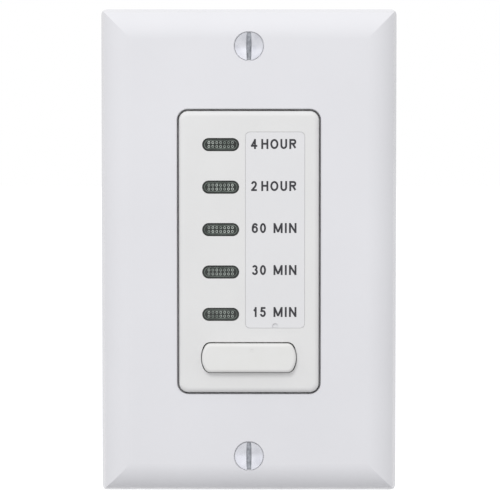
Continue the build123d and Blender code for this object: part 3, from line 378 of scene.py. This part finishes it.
def place_screws(node, screw, places, materials):
    """Puts copies of one screw at places, each turned about the upright, for a CAD node."""
    data = mesh_data("screw_copy", screw)
    mesh = bmesh.new()
    for place, turn in places:
        first = len(mesh.verts)
        mesh.from_mesh(data)
        mesh.verts.ensure_lookup_table()
        spin = Matrix.Translation(place) @ Matrix.Rotation(math.radians(turn), 4, "Z")
        bmesh.ops.transform(mesh, matrix=spin, verts=mesh.verts[first:])
    bpy.data.meshes.remove(data)
    piece = finished(node + "_threaded", mesh, materials, "device")
    piece.data.set_sharp_from_angle(angle=sharp_angle)
    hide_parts(node)


low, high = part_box("plate_screws")
head = arc((head_tip_radius, -plate_head_dome), (plate_head_radius, 0), plate_head_bulge)
head += [(plate_head_radius, plate_head_rim), (plate_shank_radius, plate_cone_depth)]
length = high.y - plate_low.y
screw = turned_screw(
    head, plate_shank_radius, length, machine_pitch, plate_slot_width, plate_slot_depth
)
up = high.z - (high.x - low.x) / 2
places = [(Vector((0, plate_low.y, end * up)), head_forward) for end in (-1, 1)]
place_screws("plate_screws", screw, places, [nickel_plate, nickel_slot_shade])

# Front cover: the white face of the timer, moulded in a satin thermoplastic. Screws from
# the back pull its flange down onto the strap.
cover_tint = "#e2e2e2"
cover_cloud_tint = "#e0e0e0"
cover_cloud_size = 11 * mm
cover_spark_size = 0.35 * mm
cover_spark_height = 0.0015 * mm

# Satin white thermoplastic: a soft sheen from a fine spark-eroded tool.
cover_plastic, shader, place = surface(
    "satin_white_thermoplastic", cover_tint, Roughness=0.36, IOR=1.46
)
cloud(shader, place, cover_cloud_size, "Base Color", cover_cloud_tint, cover_tint)
grain(shader, place, cover_spark_size, cover_spark_height)
dress(cover_plastic, "front_cover")

# Label insert: a thin strip of the same plastic, clipped into the cover's recess, with the
# times pad-printed in dark grey ink beside their windows.
label_tint = "#e1e1e3"
label_cloud_tint = "#e0e0e2"
ink_tint = "#222227"
ink_pale_tint = "#2c2c31"
ink_cloud_size = 0.5 * mm
ink_thickness = 0.02 * mm
ink_layer_step = 0.0004 * mm  # keeps strokes that cross out of one plane
ink_stroke = 0.45 * mm
ink_turn_step = 12  # degrees of arc
sharpest_mitre = 0.5  # the least share by which a band's half width is divided at a corner
nearly = 0.01  # two places or directions that differ by this share count as one
cap_height = 2.35 * mm
# Each glyph has its left and right edge, and each time the level of its middle, all in
# millimetres from the plate's middle.
hour = [("H", 2.90, 4.56), ("O", 5.02, 6.92), ("U", 7.39, 8.97), ("R", 9.48, 11.14)]
minute = [("M", 5.78, 7.92), ("I", 8.48, 8.86), ("N", 9.42, 11.18)]
legends = {
    "4_hour": (25.44, [("4", 0.46, 1.96)] + hour),
    "2_hour": (15.57, [("2", 0.51, 1.87)] + hour),
    "60_min": (5.69, [("6", 0.66, 2.13), ("0", 2.59, 4.01)] + minute),
    "30_min": (-4.20, [("3", 0.70, 2.13), ("0", 2.59, 4.01)] + minute),
    "15_min": (-14.10, [("1", 0.96, 1.82), ("5", 2.58, 3.99)] + minute),
}
# Each stroke is a run of points, or of arcs as middle, half width, half height, start and
# end in degrees. All but the degrees are shares of the glyph's width and height.
stroke_shares = {
    "0": [[(0.5, 0.5, 0.5, 0.5, 90, 450)]],
    "1": [[(1, 0), (1, 1)], [(1, 0.93), (0.5, 0.76), (-0.1, 0.64)]],
    "2": [
        [(0.5, 0.73, 0.5, 0.27, 175, -20), (0.8, 0.45), (0.25, 0.14), (0.06, 0)],
        [(0, 0), (1, 0)],
    ],
    "3": [[(0.47, 0.76, 0.42, 0.24, 165, -90)], [(0.47, 0.27, 0.5, 0.27, 90, -170)]],
    "4": [[(0.7, 0.97), (0, 0.3)], [(0, 0.27), (1, 0.27)], [(0.7, 0), (0.7, 1)]],
    "5": [[(0.9, 1), (0.22, 1)], [(0.22, 0.96), (0.1, 0.5)], [(0.48, 0.32, 0.5, 0.32, 145, -170)]],
    "6": [[(0.5, 0.32, 0.5, 0.32, 90, 450)], [(0.55, 0.5, 0.55, 0.5, 190, 35)]],
    "H": [[(0, 0), (0, 1)], [(1, 0), (1, 1)], [(0, 0.53), (1, 0.53)]],
    "I": [[(0.5, 0), (0.5, 1)]],
    "M": [[(0, 0), (0, 1)], [(1, 0), (1, 1)], [(0.03, 1), (0.5, 0)], [(0.97, 1), (0.5, 0)]],
    "N": [[(0, 0), (0, 1)], [(1, 0), (1, 1)], [(0.03, 1), (0.97, 0)]],
    "O": [[(0.5, 0.5, 0.5, 0.5, 90, 450)]],
    "R": [
        [(0, 0), (0, 1)],
        [(0, 1), (0.65, 0.77, 0.33, 0.23, 90, -90), (0, 0.54)],
        [(0.5, 0.5), (1, 0)],
    ],
    "U": [[(0, 1), (0.5, 0.33, 0.5, 0.33, 180, 360), (1, 1)]],
}

# Satin label plastic: a shade cooler than the cover round it.
label_plastic, shader, place = surface(
    "satin_label_plastic", label_tint, Roughness=0.33, IOR=1.46
)
cloud(shader, place, cover_cloud_size, "Base Color", label_cloud_tint, label_tint)
grain(shader, place, cover_spark_size, cover_spark_height)
dress(label_plastic, "label_insert")

# Pad-printed ink: a flat dark grey with slightly uneven cover.
ink, shader, place = surface("pad_printed_ink", ink_tint, Roughness=0.5)
cloud(shader, place, ink_cloud_size, "Base Color", ink_tint, ink_pale_tint)


def along_stroke(items):
    """The points along one stroke, as shares."""
    points = []
    for item in items:
        if len(item) == 2:
            points.append(Vector(item))
            continue
        x, y, half_width, half_height, start, end = item
        steps = max(2, round(abs(end - start) / ink_turn_step))
        for step in range(steps + 1):
            turn = math.radians(start + (end - start) * step / steps)
            swing = Vector((half_width * math.cos(turn), half_height * math.sin(turn)))
            points.append(Vector((x, y)) + swing)
    return points


def ink_band(mesh, points, depth):
    """Adds a band of ink along points on the label, square at upright and level ends."""
    half = ink_stroke / 2
    closed = (points[0] - points[-1]).length < nearly * half
    if not closed:
        for end, next_one in ((0, 1), (-1, -2)):
            out = (points[end] - points[next_one]).normalized()
            if min(abs(out.x), abs(out.y)) < nearly:
                points[end] = points[end] + out * half
    pairs = []
    for index, point in enumerate(points):
        before = points[index - 1] if index else points[-2 if closed else 0]
        after = points[index + 1] if index < len(points) - 1 else points[1 if closed else -1]
        along = (after - before).normalized()
        inward = (point - before if index or closed else after - point).normalized()
        side = Vector((-along.y, along.x)) * half / max(sharpest_mitre, along.dot(inward))
        edges = (point + side, point - side)
        pairs.append([mesh.verts.new((edge.x, depth, edge.y)) for edge in edges])
    for (a, b), (c, d) in zip(pairs, pairs[1:]):
        mesh.faces.new((a, b, d, c))


def print_legend(name, level, glyphs):
    """Prints one time on the label."""
    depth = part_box("label_insert")[0].y
    mesh = bmesh.new()
    height = cap_height - ink_stroke
    for glyph, left, right in glyphs:
        corner = Vector((left * mm + ink_stroke / 2, level * mm - height / 2))
        size = Vector(((right - left) * mm - ink_stroke, height))
        for items in stroke_shares[glyph]:
            ink_band(mesh, [corner + share * size for share in along_stroke(items)], depth)
            depth -= ink_layer_step
    printed = finished("legend_" + name, mesh, [ink], "device")
    solid = printed.modifiers.new("ink", "SOLIDIFY")
    solid.thickness = ink_thickness
    solid.offset = 0


for name, (level, glyphs) in legends.items():
    print_legend(name, level, glyphs)

# Lens strip: one moulding of smoked clear plastic whose five pads fill the windows. Each
# pad has a rim line and two rows of small oval prisms that spread the lamp's light.
lens_tint = "#171c19"
lens_cloud_tint = "#222a25"
lens_cloud_size = 2.5 * mm
lens_ripple_size = 0.8 * mm
lens_ripple_height = 0.002 * mm
# The prism and rim tints are painted highlights: pale colour on thin beads stands for light caught
# on the moulded edges.
prism_painted_glint_tint = "#dfe8e1"
prism_painted_dim_glint_tint = "#8b968e"
prism_cloud_size = 2.0 * mm
prism_columns = 7
prism_spacing = 0.92 * mm
prism_row_offset = 0.46 * mm
prism_half_width = 0.22 * mm
prism_half_height = 0.27 * mm
prism_bead = 0.06 * mm
rim_bead = 0.05 * mm
rim_inset = 0.42 * mm
rim_painted_glint_tint = "#9ca79f"
rim_painted_dim_glint_tint = "#656f68"
window_half_width = 4.23 * mm
window_half_height = 1.43 * mm
bead_steps = 28
bead_sides = 6

# Smoked acrylic: nearly black with a green cast, and a wet gloss.
smoked_lens, shader, place = surface("smoked_acrylic", lens_tint, Roughness=0.12, IOR=1.49)
cloud(shader, place, lens_cloud_size, "Base Color", lens_tint, lens_cloud_tint)
grain(shader, place, lens_ripple_size, lens_ripple_height)
dress(smoked_lens, "lens_strip")

# Prism beads: the same acrylic, tinted pale grey-green as a painted highlight where the prisms'
# sharp edges catch the light.
prism_painted_glint, shader, place = surface("acrylic_prism_painted_glint", prism_painted_glint_tint, Roughness=0.2, IOR=1.49)
cloud(shader, place, prism_cloud_size, "Base Color", prism_painted_dim_glint_tint, prism_painted_glint_tint)

# Rim line beads: a dimmer painted highlight than the prisms', for a softer edge that catches less
# light.
lens_rim_painted_glint, shader, place = surface("acrylic_rim_painted_glint", rim_painted_glint_tint, Roughness=0.25, IOR=1.49)
cloud(shader, place, prism_cloud_size, "Base Color", rim_painted_dim_glint_tint, rim_painted_glint_tint)


def bead_round(mesh, middle, half_width, half_height, bead):
    """Adds a fine bead round a slot with round ends, flat on the lens."""
    straight_x = max(half_width - half_height, 0)
    straight_z = max(half_height - half_width, 0)
    loops = []
    for step in range(bead_steps):
        turn = 2 * math.pi * (step + 0.5) / bead_steps
        cos, sin = math.cos(turn), math.sin(turn)
        x = math.copysign(straight_x, cos) + (half_width - straight_x) * cos
        z = math.copysign(straight_z, sin) + (half_height - straight_z) * sin
        outward = Vector((cos / half_width, 0, sin / half_height)).normalized()
        loop = []
        for side in range(bead_sides):
            swing = 2 * math.pi * side / bead_sides
            point = middle + Vector((x, 0, z)) + outward * bead * math.cos(swing)
            loop.append(mesh.verts.new(point + Vector((0, bead * math.sin(swing), 0))))
        loops.append(loop)
    for here, there in zip(loops, loops[1:] + loops[:1]):
        for side in range(bead_sides):
            after = (side + 1) % bead_sides
            mesh.faces.new((here[side], there[side], there[after], here[after])).smooth = True


lens_low, lens_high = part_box("lens_strip")
prisms, rims = bmesh.new(), bmesh.new()
for name in legends:
    low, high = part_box("led_" + name)
    middle = Vector(((lens_low.x + lens_high.x) / 2, lens_low.y, (low.z + high.z) / 2))
    bead_round(
        rims, middle, window_half_width - rim_inset, window_half_height - rim_inset, rim_bead
    )
    for row in (-1, 1):
        for column in range(prism_columns):
            across = (column - (prism_columns - 1) / 2) * prism_spacing
            prism = middle + Vector((across, 0, row * prism_row_offset))
            bead_round(prisms, prism, prism_half_width, prism_half_height, prism_bead)
finished("lens_prisms", prisms, [prism_painted_glint], "device")
finished("lens_rims", rims, [lens_rim_painted_glint], "device")

# Push button: a hollow bar moulded in the cover's plastic but polished. It has two posts
# that slide in the control board, and the dome of the key switch springs it back.
button_tint = "#e4e4e3"
button_cloud_tint = "#e2e2e0"

# Polished button plastic: a touch warmer and shinier than the cover.
button_plastic, shader, place = surface(
    "polished_button_plastic", button_tint, Roughness=0.27, IOR=1.46
)
cloud(shader, place, plate_cloud_size / 3, "Base Color", button_cloud_tint, button_tint)
grain(shader, place, plate_peel_size, plate_peel_height)
dress(button_plastic, "push_button")

# Mounting strap: blanked from zinc-plated sheet, with its slots, tapped holes and break-off
# ears. The box screws, the housing screws and the key switch's cap have the same plating.
zinc_tint = "#c3c6ca"
zinc_dull_tint = "#9ea3a9"
zinc_spangle_size = 2.2 * mm
zinc_grit_size = 0.3 * mm
zinc_grit_height = 0.003 * mm

# Zinc plate: a pale blue-grey metal, patchy where the sheet was rolled.
zinc_steel, shader, place = surface("bright_zinc_plate", zinc_tint, Roughness=0.38, Metallic=1)
cloud(shader, place, zinc_spangle_size, "Base Color", zinc_dull_tint, zinc_tint)
cloud(shader, place, zinc_spangle_size / 3, "Roughness", 0.3, 0.46)
grain(shader, place, zinc_grit_size, zinc_grit_height)
dress(zinc_steel, "mounting_strap", "box_screws", "housing_screws", "key_cap")

# Box screws: long pan-head machine screws with a waist, held captive by their washers, and
# the four thread-forming screws that close the housing from behind, all zinc plated.
box_head_radius = 3.3 * mm
box_head_height = 1.9 * mm
box_waist_radius = 1.5 * mm
box_thread_radius = 1.75 * mm
box_waist_length = 2.7 * mm
box_slot_width = 0.88 * mm
box_slot_depth = 1.0 * mm
housing_head_radius = 2.7 * mm
housing_head_height = 2.2 * mm
housing_thread_radius = 1.45 * mm
housing_slot_width = 0.72 * mm
tapping_pitch = 1.1 * mm
pan_head_corner = 0.7 * mm
pan_head_bulge = 0.24 * mm

# Slot walls in zinc: a darker, duller tint, which is painted shade inside the slot.
zinc_slot_shade, shader, place = surface("zinc_slot_painted_shade", painted_slot_deep_shade_tint, Roughness=0.55, Metallic=1)
cloud(shader, place, slot_shade_cloud_size, "Base Color", painted_slot_deep_shade_tint, painted_slot_shade_tint)


def pan_head(radius, height, neck):
    """Profile of a pan head: a crowned top, an upright rim and the flat under it."""
    crown = arc((head_tip_radius, -height), (radius, pan_head_corner - height), pan_head_bulge)
    return crown + [(radius, 0), (neck, 0)]


low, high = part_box("box_screws")
head = pan_head(box_head_radius, box_head_height, box_waist_radius)
head.append((box_waist_radius, box_waist_length))
seat = low.y + box_head_height
screw = turned_screw(
    head, box_thread_radius, high.y - seat, machine_pitch, box_slot_width, box_slot_depth
)
up = high.z - box_head_radius
places = [(Vector((0, seat, end * up)), head_forward) for end in (-1, 1)]
place_screws("box_screws", screw, places, [zinc_steel, zinc_slot_shade])

low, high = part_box("housing_screws")
seat = high.y - housing_head_height
head = pan_head(housing_head_radius, housing_head_height, housing_thread_radius)
screw = turned_screw(
    head, housing_thread_radius, seat - low.y, tapping_pitch, housing_slot_width, box_slot_depth
)
across, up = high.x - housing_head_radius, high.z - housing_head_radius
corners = [(side * across, end * up) for side in (-1, 1) for end in (-1, 1)]
places = [(Vector((x, seat, z)), head_backward) for x, z in corners]
place_screws("housing_screws", screw, places, [zinc_steel, zinc_slot_shade])

# Earthing screw: a pan-head steel screw on the strap's tab, whose green finish marks where
# the earthing wire goes.
green_tint = "#2f8a4c"
green_dark_tint = "#1f6a39"
green_cloud_size = 1.5 * mm
earth_head_radius = 3.4 * mm
earth_head_height = 2.2 * mm
earth_thread_radius = 1.9 * mm

# Green passivation: a dyed film through which the metal still shines.
green_screw, shader, place = surface(
    "green_passivated_steel", green_tint, Roughness=0.32, Metallic=0.75
)
cloud(shader, place, green_cloud_size, "Base Color", green_dark_tint, green_tint)
grain(shader, place, zinc_grit_size, zinc_grit_height)
dress(green_screw, "ground_screw")
low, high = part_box("ground_screw")
seat = high.y - earth_head_height
head = pan_head(earth_head_radius, earth_head_height, earth_thread_radius)
screw = turned_screw(
    head, earth_thread_radius, seat - low.y, machine_pitch, box_slot_width, box_slot_depth
)
places = [(Vector(((low.x + high.x) / 2, seat, (low.z + high.z) / 2)), head_backward)]
place_screws("ground_screw", screw, places, [green_screw, zinc_slot_shade])

# Screw retainers: washers punched from vulcanised fibre, one round the waist of each box
# screw, which keep the screws captive.
fibre_tint = "#8a3a2e"
fibre_dark_tint = "#6f2c24"
fibre_cloud_size = 0.6 * mm
fibre_grain_size = 0.25 * mm
fibre_grain_height = 0.01 * mm

# Vulcanised fibre: a dull brick red with long soft fibres pressed flat.
red_fibre, shader, place = surface("vulcanised_fibre", fibre_tint, Roughness=0.75)
cloud(shader, place, fibre_cloud_size, "Base Color", fibre_dark_tint, fibre_tint)
grain(shader, place, fibre_grain_size, fibre_grain_height)
dress(red_fibre, "screw_retainers")

# Rear housing: a deep black box moulded in flame-retardant polycarbonate, which holds the
# boards and goes into the wall box. Relay base, header and key switch are like mouldings.
black_tint = "#1d1d1f"
black_cloud_tint = "#232326"
black_cloud_size = 9 * mm
spark_size = 0.45 * mm
spark_height = 0.012 * mm

# Spark-eroded black polycarbonate: a fine even grain with a dull sheen.
black_moulding, shader, place = surface(
    "spark_grained_polycarbonate", black_tint, Roughness=0.5, IOR=1.58
)
cloud(shader, place, black_cloud_size, "Base Color", black_tint, black_cloud_tint)
cloud(shader, place, spark_size * 3, "Roughness", 0.42, 0.56)
grain(shader, place, spark_size, spark_height)
dress(black_moulding, "rear_housing", "relay_base", "board_link_header")
dress(black_moulding, "key_switch", "key_plunger")

# Terminal marks: the plain words that say which wire goes where, raised on the housing's
# sides over each terminal pocket and rolled with pale grey marking ink.
mark_height = 2.8 * mm
mark_relief = 0.15 * mm
mark_gap = 3.0 * mm
mark_spacing = 1.15  # of the typeface's own letter spacing
mark_tint = "#a9abad"
mark_pale_tint = "#bbbdbf"

# Marking ink: a thin matt grey, rolled on unevenly.
mark_ink, shader, place = surface("rolled_marking_ink", mark_tint, Roughness=0.6)
cloud(shader, place, ink_cloud_size, "Base Color", mark_tint, mark_pale_tint)


def side_of(node):
    """1 for a piece at the right of the switch, and -1 for one at its left."""
    low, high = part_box(node)
    return 1 if low.x + high.x > 0 else -1


housing_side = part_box("rear_housing")[1].x
low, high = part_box("terminal_screws")
for name in ("line", "load", "neutral"):
    words = bpy.data.curves.new(name + "_mark", "FONT")
    words.body = name.upper()
    words.size = mark_height
    words.space_character = mark_spacing
    words.extrude = mark_relief
    words.align_x = "CENTER"
    words.materials.append(mark_ink)
    mark = put(name + "_mark", words)
    side = side_of(name + "_terminal")
    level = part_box(name + "_terminal")[1].z + mark_gap
    mark.location = (side * housing_side, (low.y + high.y) / 2, level)
    mark.rotation_euler = (math.pi / 2, 0, side * math.pi / 2)
    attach(mark, "device")

# Side terminals and their screws: bent brass strip and brass screws, one pair for each
# wire, and the neutral strip nickel plated. Brass also makes the relay's contacts and the
# pins that join the boards.
brass_tint = "#d8b469"
brass_dull_tint = "#b08c48"
# This slot tint is partly tarnish and partly painted shade inside the slot.
brass_slot_tarnish_and_shade_tint = "#86683a"
brass_cloud_size = 1.6 * mm
brass_rub_size = 0.7 * mm
brass_scratch_size = 0.2 * mm
brass_scratch_height = 0.002 * mm
binding_head_radius = 3.95 * mm
binding_head_height = 2.1 * mm
binding_thread_radius = 1.95 * mm
binding_length = 3.7 * mm

# Rolled brass: warm and bright, tarnished in soft patches.
contact_brass, shader, place = surface("rolled_brass", brass_tint, Roughness=0.3, Metallic=1)
cloud(shader, place, brass_cloud_size, "Base Color", brass_dull_tint, brass_tint)
cloud(shader, place, brass_rub_size, "Roughness", 0.24, 0.4)
grain(shader, place, brass_scratch_size, brass_scratch_height)
dress(contact_brass, "line_terminal", "load_terminal", "terminal_screws", "board_link_pins")
dress(contact_brass, "relay_contact_spring", "relay_contacts")

# Slot walls in brass: browner and duller, partly tarnish sitting in the hollow and partly painted
# shade inside the slot.
brass_slot_tarnish_and_shade, shader, place = surface("brass_slot_tarnish_and_painted_shade", brass_dull_tint, Roughness=0.6, Metallic=1)
cloud(shader, place, slot_shade_cloud_size, "Base Color", brass_slot_tarnish_and_shade_tint, brass_dull_tint)

head = pan_head(binding_head_radius, binding_head_height, binding_thread_radius)
screw = turned_screw(
    head, binding_thread_radius, binding_length, machine_pitch, box_slot_width, box_slot_depth
)
low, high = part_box("terminal_screws")
seat = high.x - binding_head_height
places = []
for name in ("line_terminal", "load_terminal", "neutral_terminal"):
    terminal_low, terminal_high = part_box(name)
    up = (terminal_low.z + terminal_high.z) / 2
    side = side_of(name)
    places.append((Vector((side * seat, (low.y + high.y) / 2, up)), side * 90))
place_screws("terminal_screws", screw, places, [contact_brass, brass_slot_tarnish_and_shade])

# Circuit boards: glass-epoxy laminate under green solder mask, which shows the weave and
# the copper tracks as slightly lighter patches.
board_tint = "#1d6b3c"
track_tint = "#2c8450"
track_patch_size = 3.0 * mm
weave_size = 0.5 * mm
weave_height = 0.01 * mm

# Solder mask: a glossy green skin over glass cloth.
green_board, shader, place = surface(
    "solder_masked_laminate", board_tint, Roughness=0.28, IOR=1.52
)
cloud(shader, place, track_patch_size, "Base Color", board_tint, track_tint, detail=0)
grain(shader, place, weave_size, weave_height)
dress(green_board, "control_board", "power_board")

# Lamps: red light-emitting diodes cast in diffused epoxy, soldered on the control board
# behind their windows.
lamp_tint = "#b23329"
lamp_deep_tint = "#9c261f"
lamp_cloud_size = 1.2 * mm

# Diffused tinted epoxy: milky red that lets light through.
lamp_red, shader, place = surface(
    "diffused_red_epoxy", lamp_tint, Roughness=0.25, IOR=1.54, Transmission_Weight=0.25
)
cloud(shader, place, lamp_cloud_size, "Base Color", lamp_deep_tint, lamp_tint)
dress(lamp_red, *("led_" + name for name in legends))

# Timing chip, chip resistors and rectifier diodes: parts moulded in black epoxy, soldered
# to the two boards.
epoxy_tint = "#232325"
epoxy_pale_tint = "#2c2c2f"
epoxy_cloud_size = 0.4 * mm
mineral_size = 0.12 * mm
mineral_height = 0.004 * mm

# Moulding epoxy: charcoal with a fine mineral grain.
chip_black, shader, place = surface("mineral_filled_epoxy", epoxy_tint, Roughness=0.55, IOR=1.55)
cloud(shader, place, epoxy_cloud_size, "Base Color", epoxy_tint, epoxy_pale_tint)
grain(shader, place, mineral_size, mineral_height)
dress(chip_black, "microcontroller", "chip_resistors", "rectifier_diodes")

# Relay: a translucent blue cover over a coil of enamelled wire on a nylon bobbin, a soft
# iron yoke with its core, and the armature that tips on it.
relay_tint = "#2450a0"
relay_deep_tint = "#1c438c"
relay_cloud_size = 4 * mm
nylon_tint = "#dcd6c2"
nylon_warm_tint = "#d2cab2"
nylon_cloud_size = 2 * mm
copper_tint = "#b5602f"
# The darker copper tint is painted shade in the grooves between the turns.
copper_groove_painted_shade_tint = "#7d3c1c"
wire_diameter = 0.15 * mm
bands_per_scale = 3  # about what the wave pattern shows for each unit of its scale
iron_tint = "#b4b4b1"
iron_dull_tint = "#8f9190"
iron_cloud_size = 1.4 * mm

# Translucent polyester: a clear deep blue with a polished skin.
relay_blue, shader, place = surface(
    "translucent_blue_polyester", relay_tint, Roughness=0.2, IOR=1.57, Transmission_Weight=0.45
)
cloud(shader, place, relay_cloud_size, "Base Color", relay_deep_tint, relay_tint)
dress(relay_blue, "relay_cover")

# Natural nylon: a waxy cream.
bobbin_nylon, shader, place = surface(
    "natural_nylon", nylon_tint, Roughness=0.42, IOR=1.53, Subsurface_Weight=0.1
)
cloud(shader, place, nylon_cloud_size, "Base Color", nylon_warm_tint, nylon_tint)
dress(bobbin_nylon, "relay_bobbin")

# Enamelled copper wire: turns side by side along the coil, glossy and red-brown, with painted shade
# darkening the grooves between the turns.
copper_wire, shader, place = surface(
    "enamelled_copper_wire", copper_tint, Roughness=0.25, Metallic=0.85
)
tree = shader.id_data
band_scale = 1 / (wire_diameter * bands_per_scale)
turns = add(tree, "TexWave", {"Scale": band_scale}, {"Vector": place}, bands_direction="Y")
ramp = add(tree, "ValToRGB", links={"Fac": turns.outputs["Fac"]})
first, last = ramp.color_ramp.elements
first.color, last.color = linear(copper_groove_painted_shade_tint), linear(copper_tint)
tree.links.new(ramp.outputs[0], shader.inputs["Base Color"])
relief = {"Strength": 1, "Distance": wire_diameter / 2}
wound = add(tree, "Bump", relief, {"Height": turns.outputs["Fac"]})
tree.links.new(wound.outputs[0], shader.inputs["Normal"])
dress(copper_wire, "relay_coil")

# Plated soft iron: greyer and duller than the strap's sheet.
soft_iron, shader, place = surface("plated_soft_iron", iron_tint, Roughness=0.45, Metallic=1)
cloud(shader, place, iron_cloud_size, "Base Color", iron_dull_tint, iron_tint)
grain(shader, place, zinc_grit_size, zinc_grit_height)
dress(soft_iron, "relay_yoke", "relay_armature")

# Parts on the power board: a potted film capacitor, a sleeved storage capacitor, a dipped
# surge absorber and a cement-coated fusible resistor.
film_tint = "#d2a42a"
film_deep_tint = "#c0921f"
film_cloud_size = 3 * mm
film_ripple_size = 0.6 * mm
film_ripple_height = 0.004 * mm
sleeve_tint = "#22252e"
sleeve_pale_tint = "#2b2f3a"
sleeve_cloud_size = 4 * mm
disc_tint = "#2a56a6"
disc_deep_tint = "#20468c"
disc_cloud_size = 2 * mm
disc_drip_size = 1.2 * mm
disc_drip_height = 0.03 * mm
cement_tint = "#7f9a86"
cement_dark_tint = "#6b8572"
cement_cloud_size = 0.5 * mm
cement_grit_size = 0.3 * mm
cement_grit_height = 0.02 * mm

# Capacitor box: yellow polyester with a soft gloss.
film_yellow, shader, place = surface("yellow_polyester_box", film_tint, Roughness=0.33, IOR=1.57)
cloud(shader, place, film_cloud_size, "Base Color", film_deep_tint, film_tint)
grain(shader, place, film_ripple_size, film_ripple_height)
dress(film_yellow, "film_capacitor")

# Shrink sleeve: thin dark film drawn tight over the can.
can_sleeve, shader, place = surface("shrunk_film_sleeve", sleeve_tint, Roughness=0.22, IOR=1.54)
cloud(shader, place, sleeve_cloud_size, "Base Color", sleeve_tint, sleeve_pale_tint)
dress(can_sleeve, "storage_capacitor")

# Dipped epoxy: a thick blue coat, uneven at its edge.
disc_blue, shader, place = surface("dipped_blue_epoxy", disc_tint, Roughness=0.3, IOR=1.55)
cloud(shader, place, disc_cloud_size, "Base Color", disc_deep_tint, disc_tint)
grain(shader, place, disc_drip_size, disc_drip_height)
dress(disc_blue, "surge_absorber")

# Cement coating: a chalky grey-green skin.
resistor_green, shader, place = surface("cement_coating", cement_tint, Roughness=0.8)
cloud(shader, place, cement_cloud_size, "Base Color", cement_dark_tint, cement_tint)
grain(shader, place, cement_grit_size, cement_grit_height)
dress(resistor_green, "fuse_resistor")
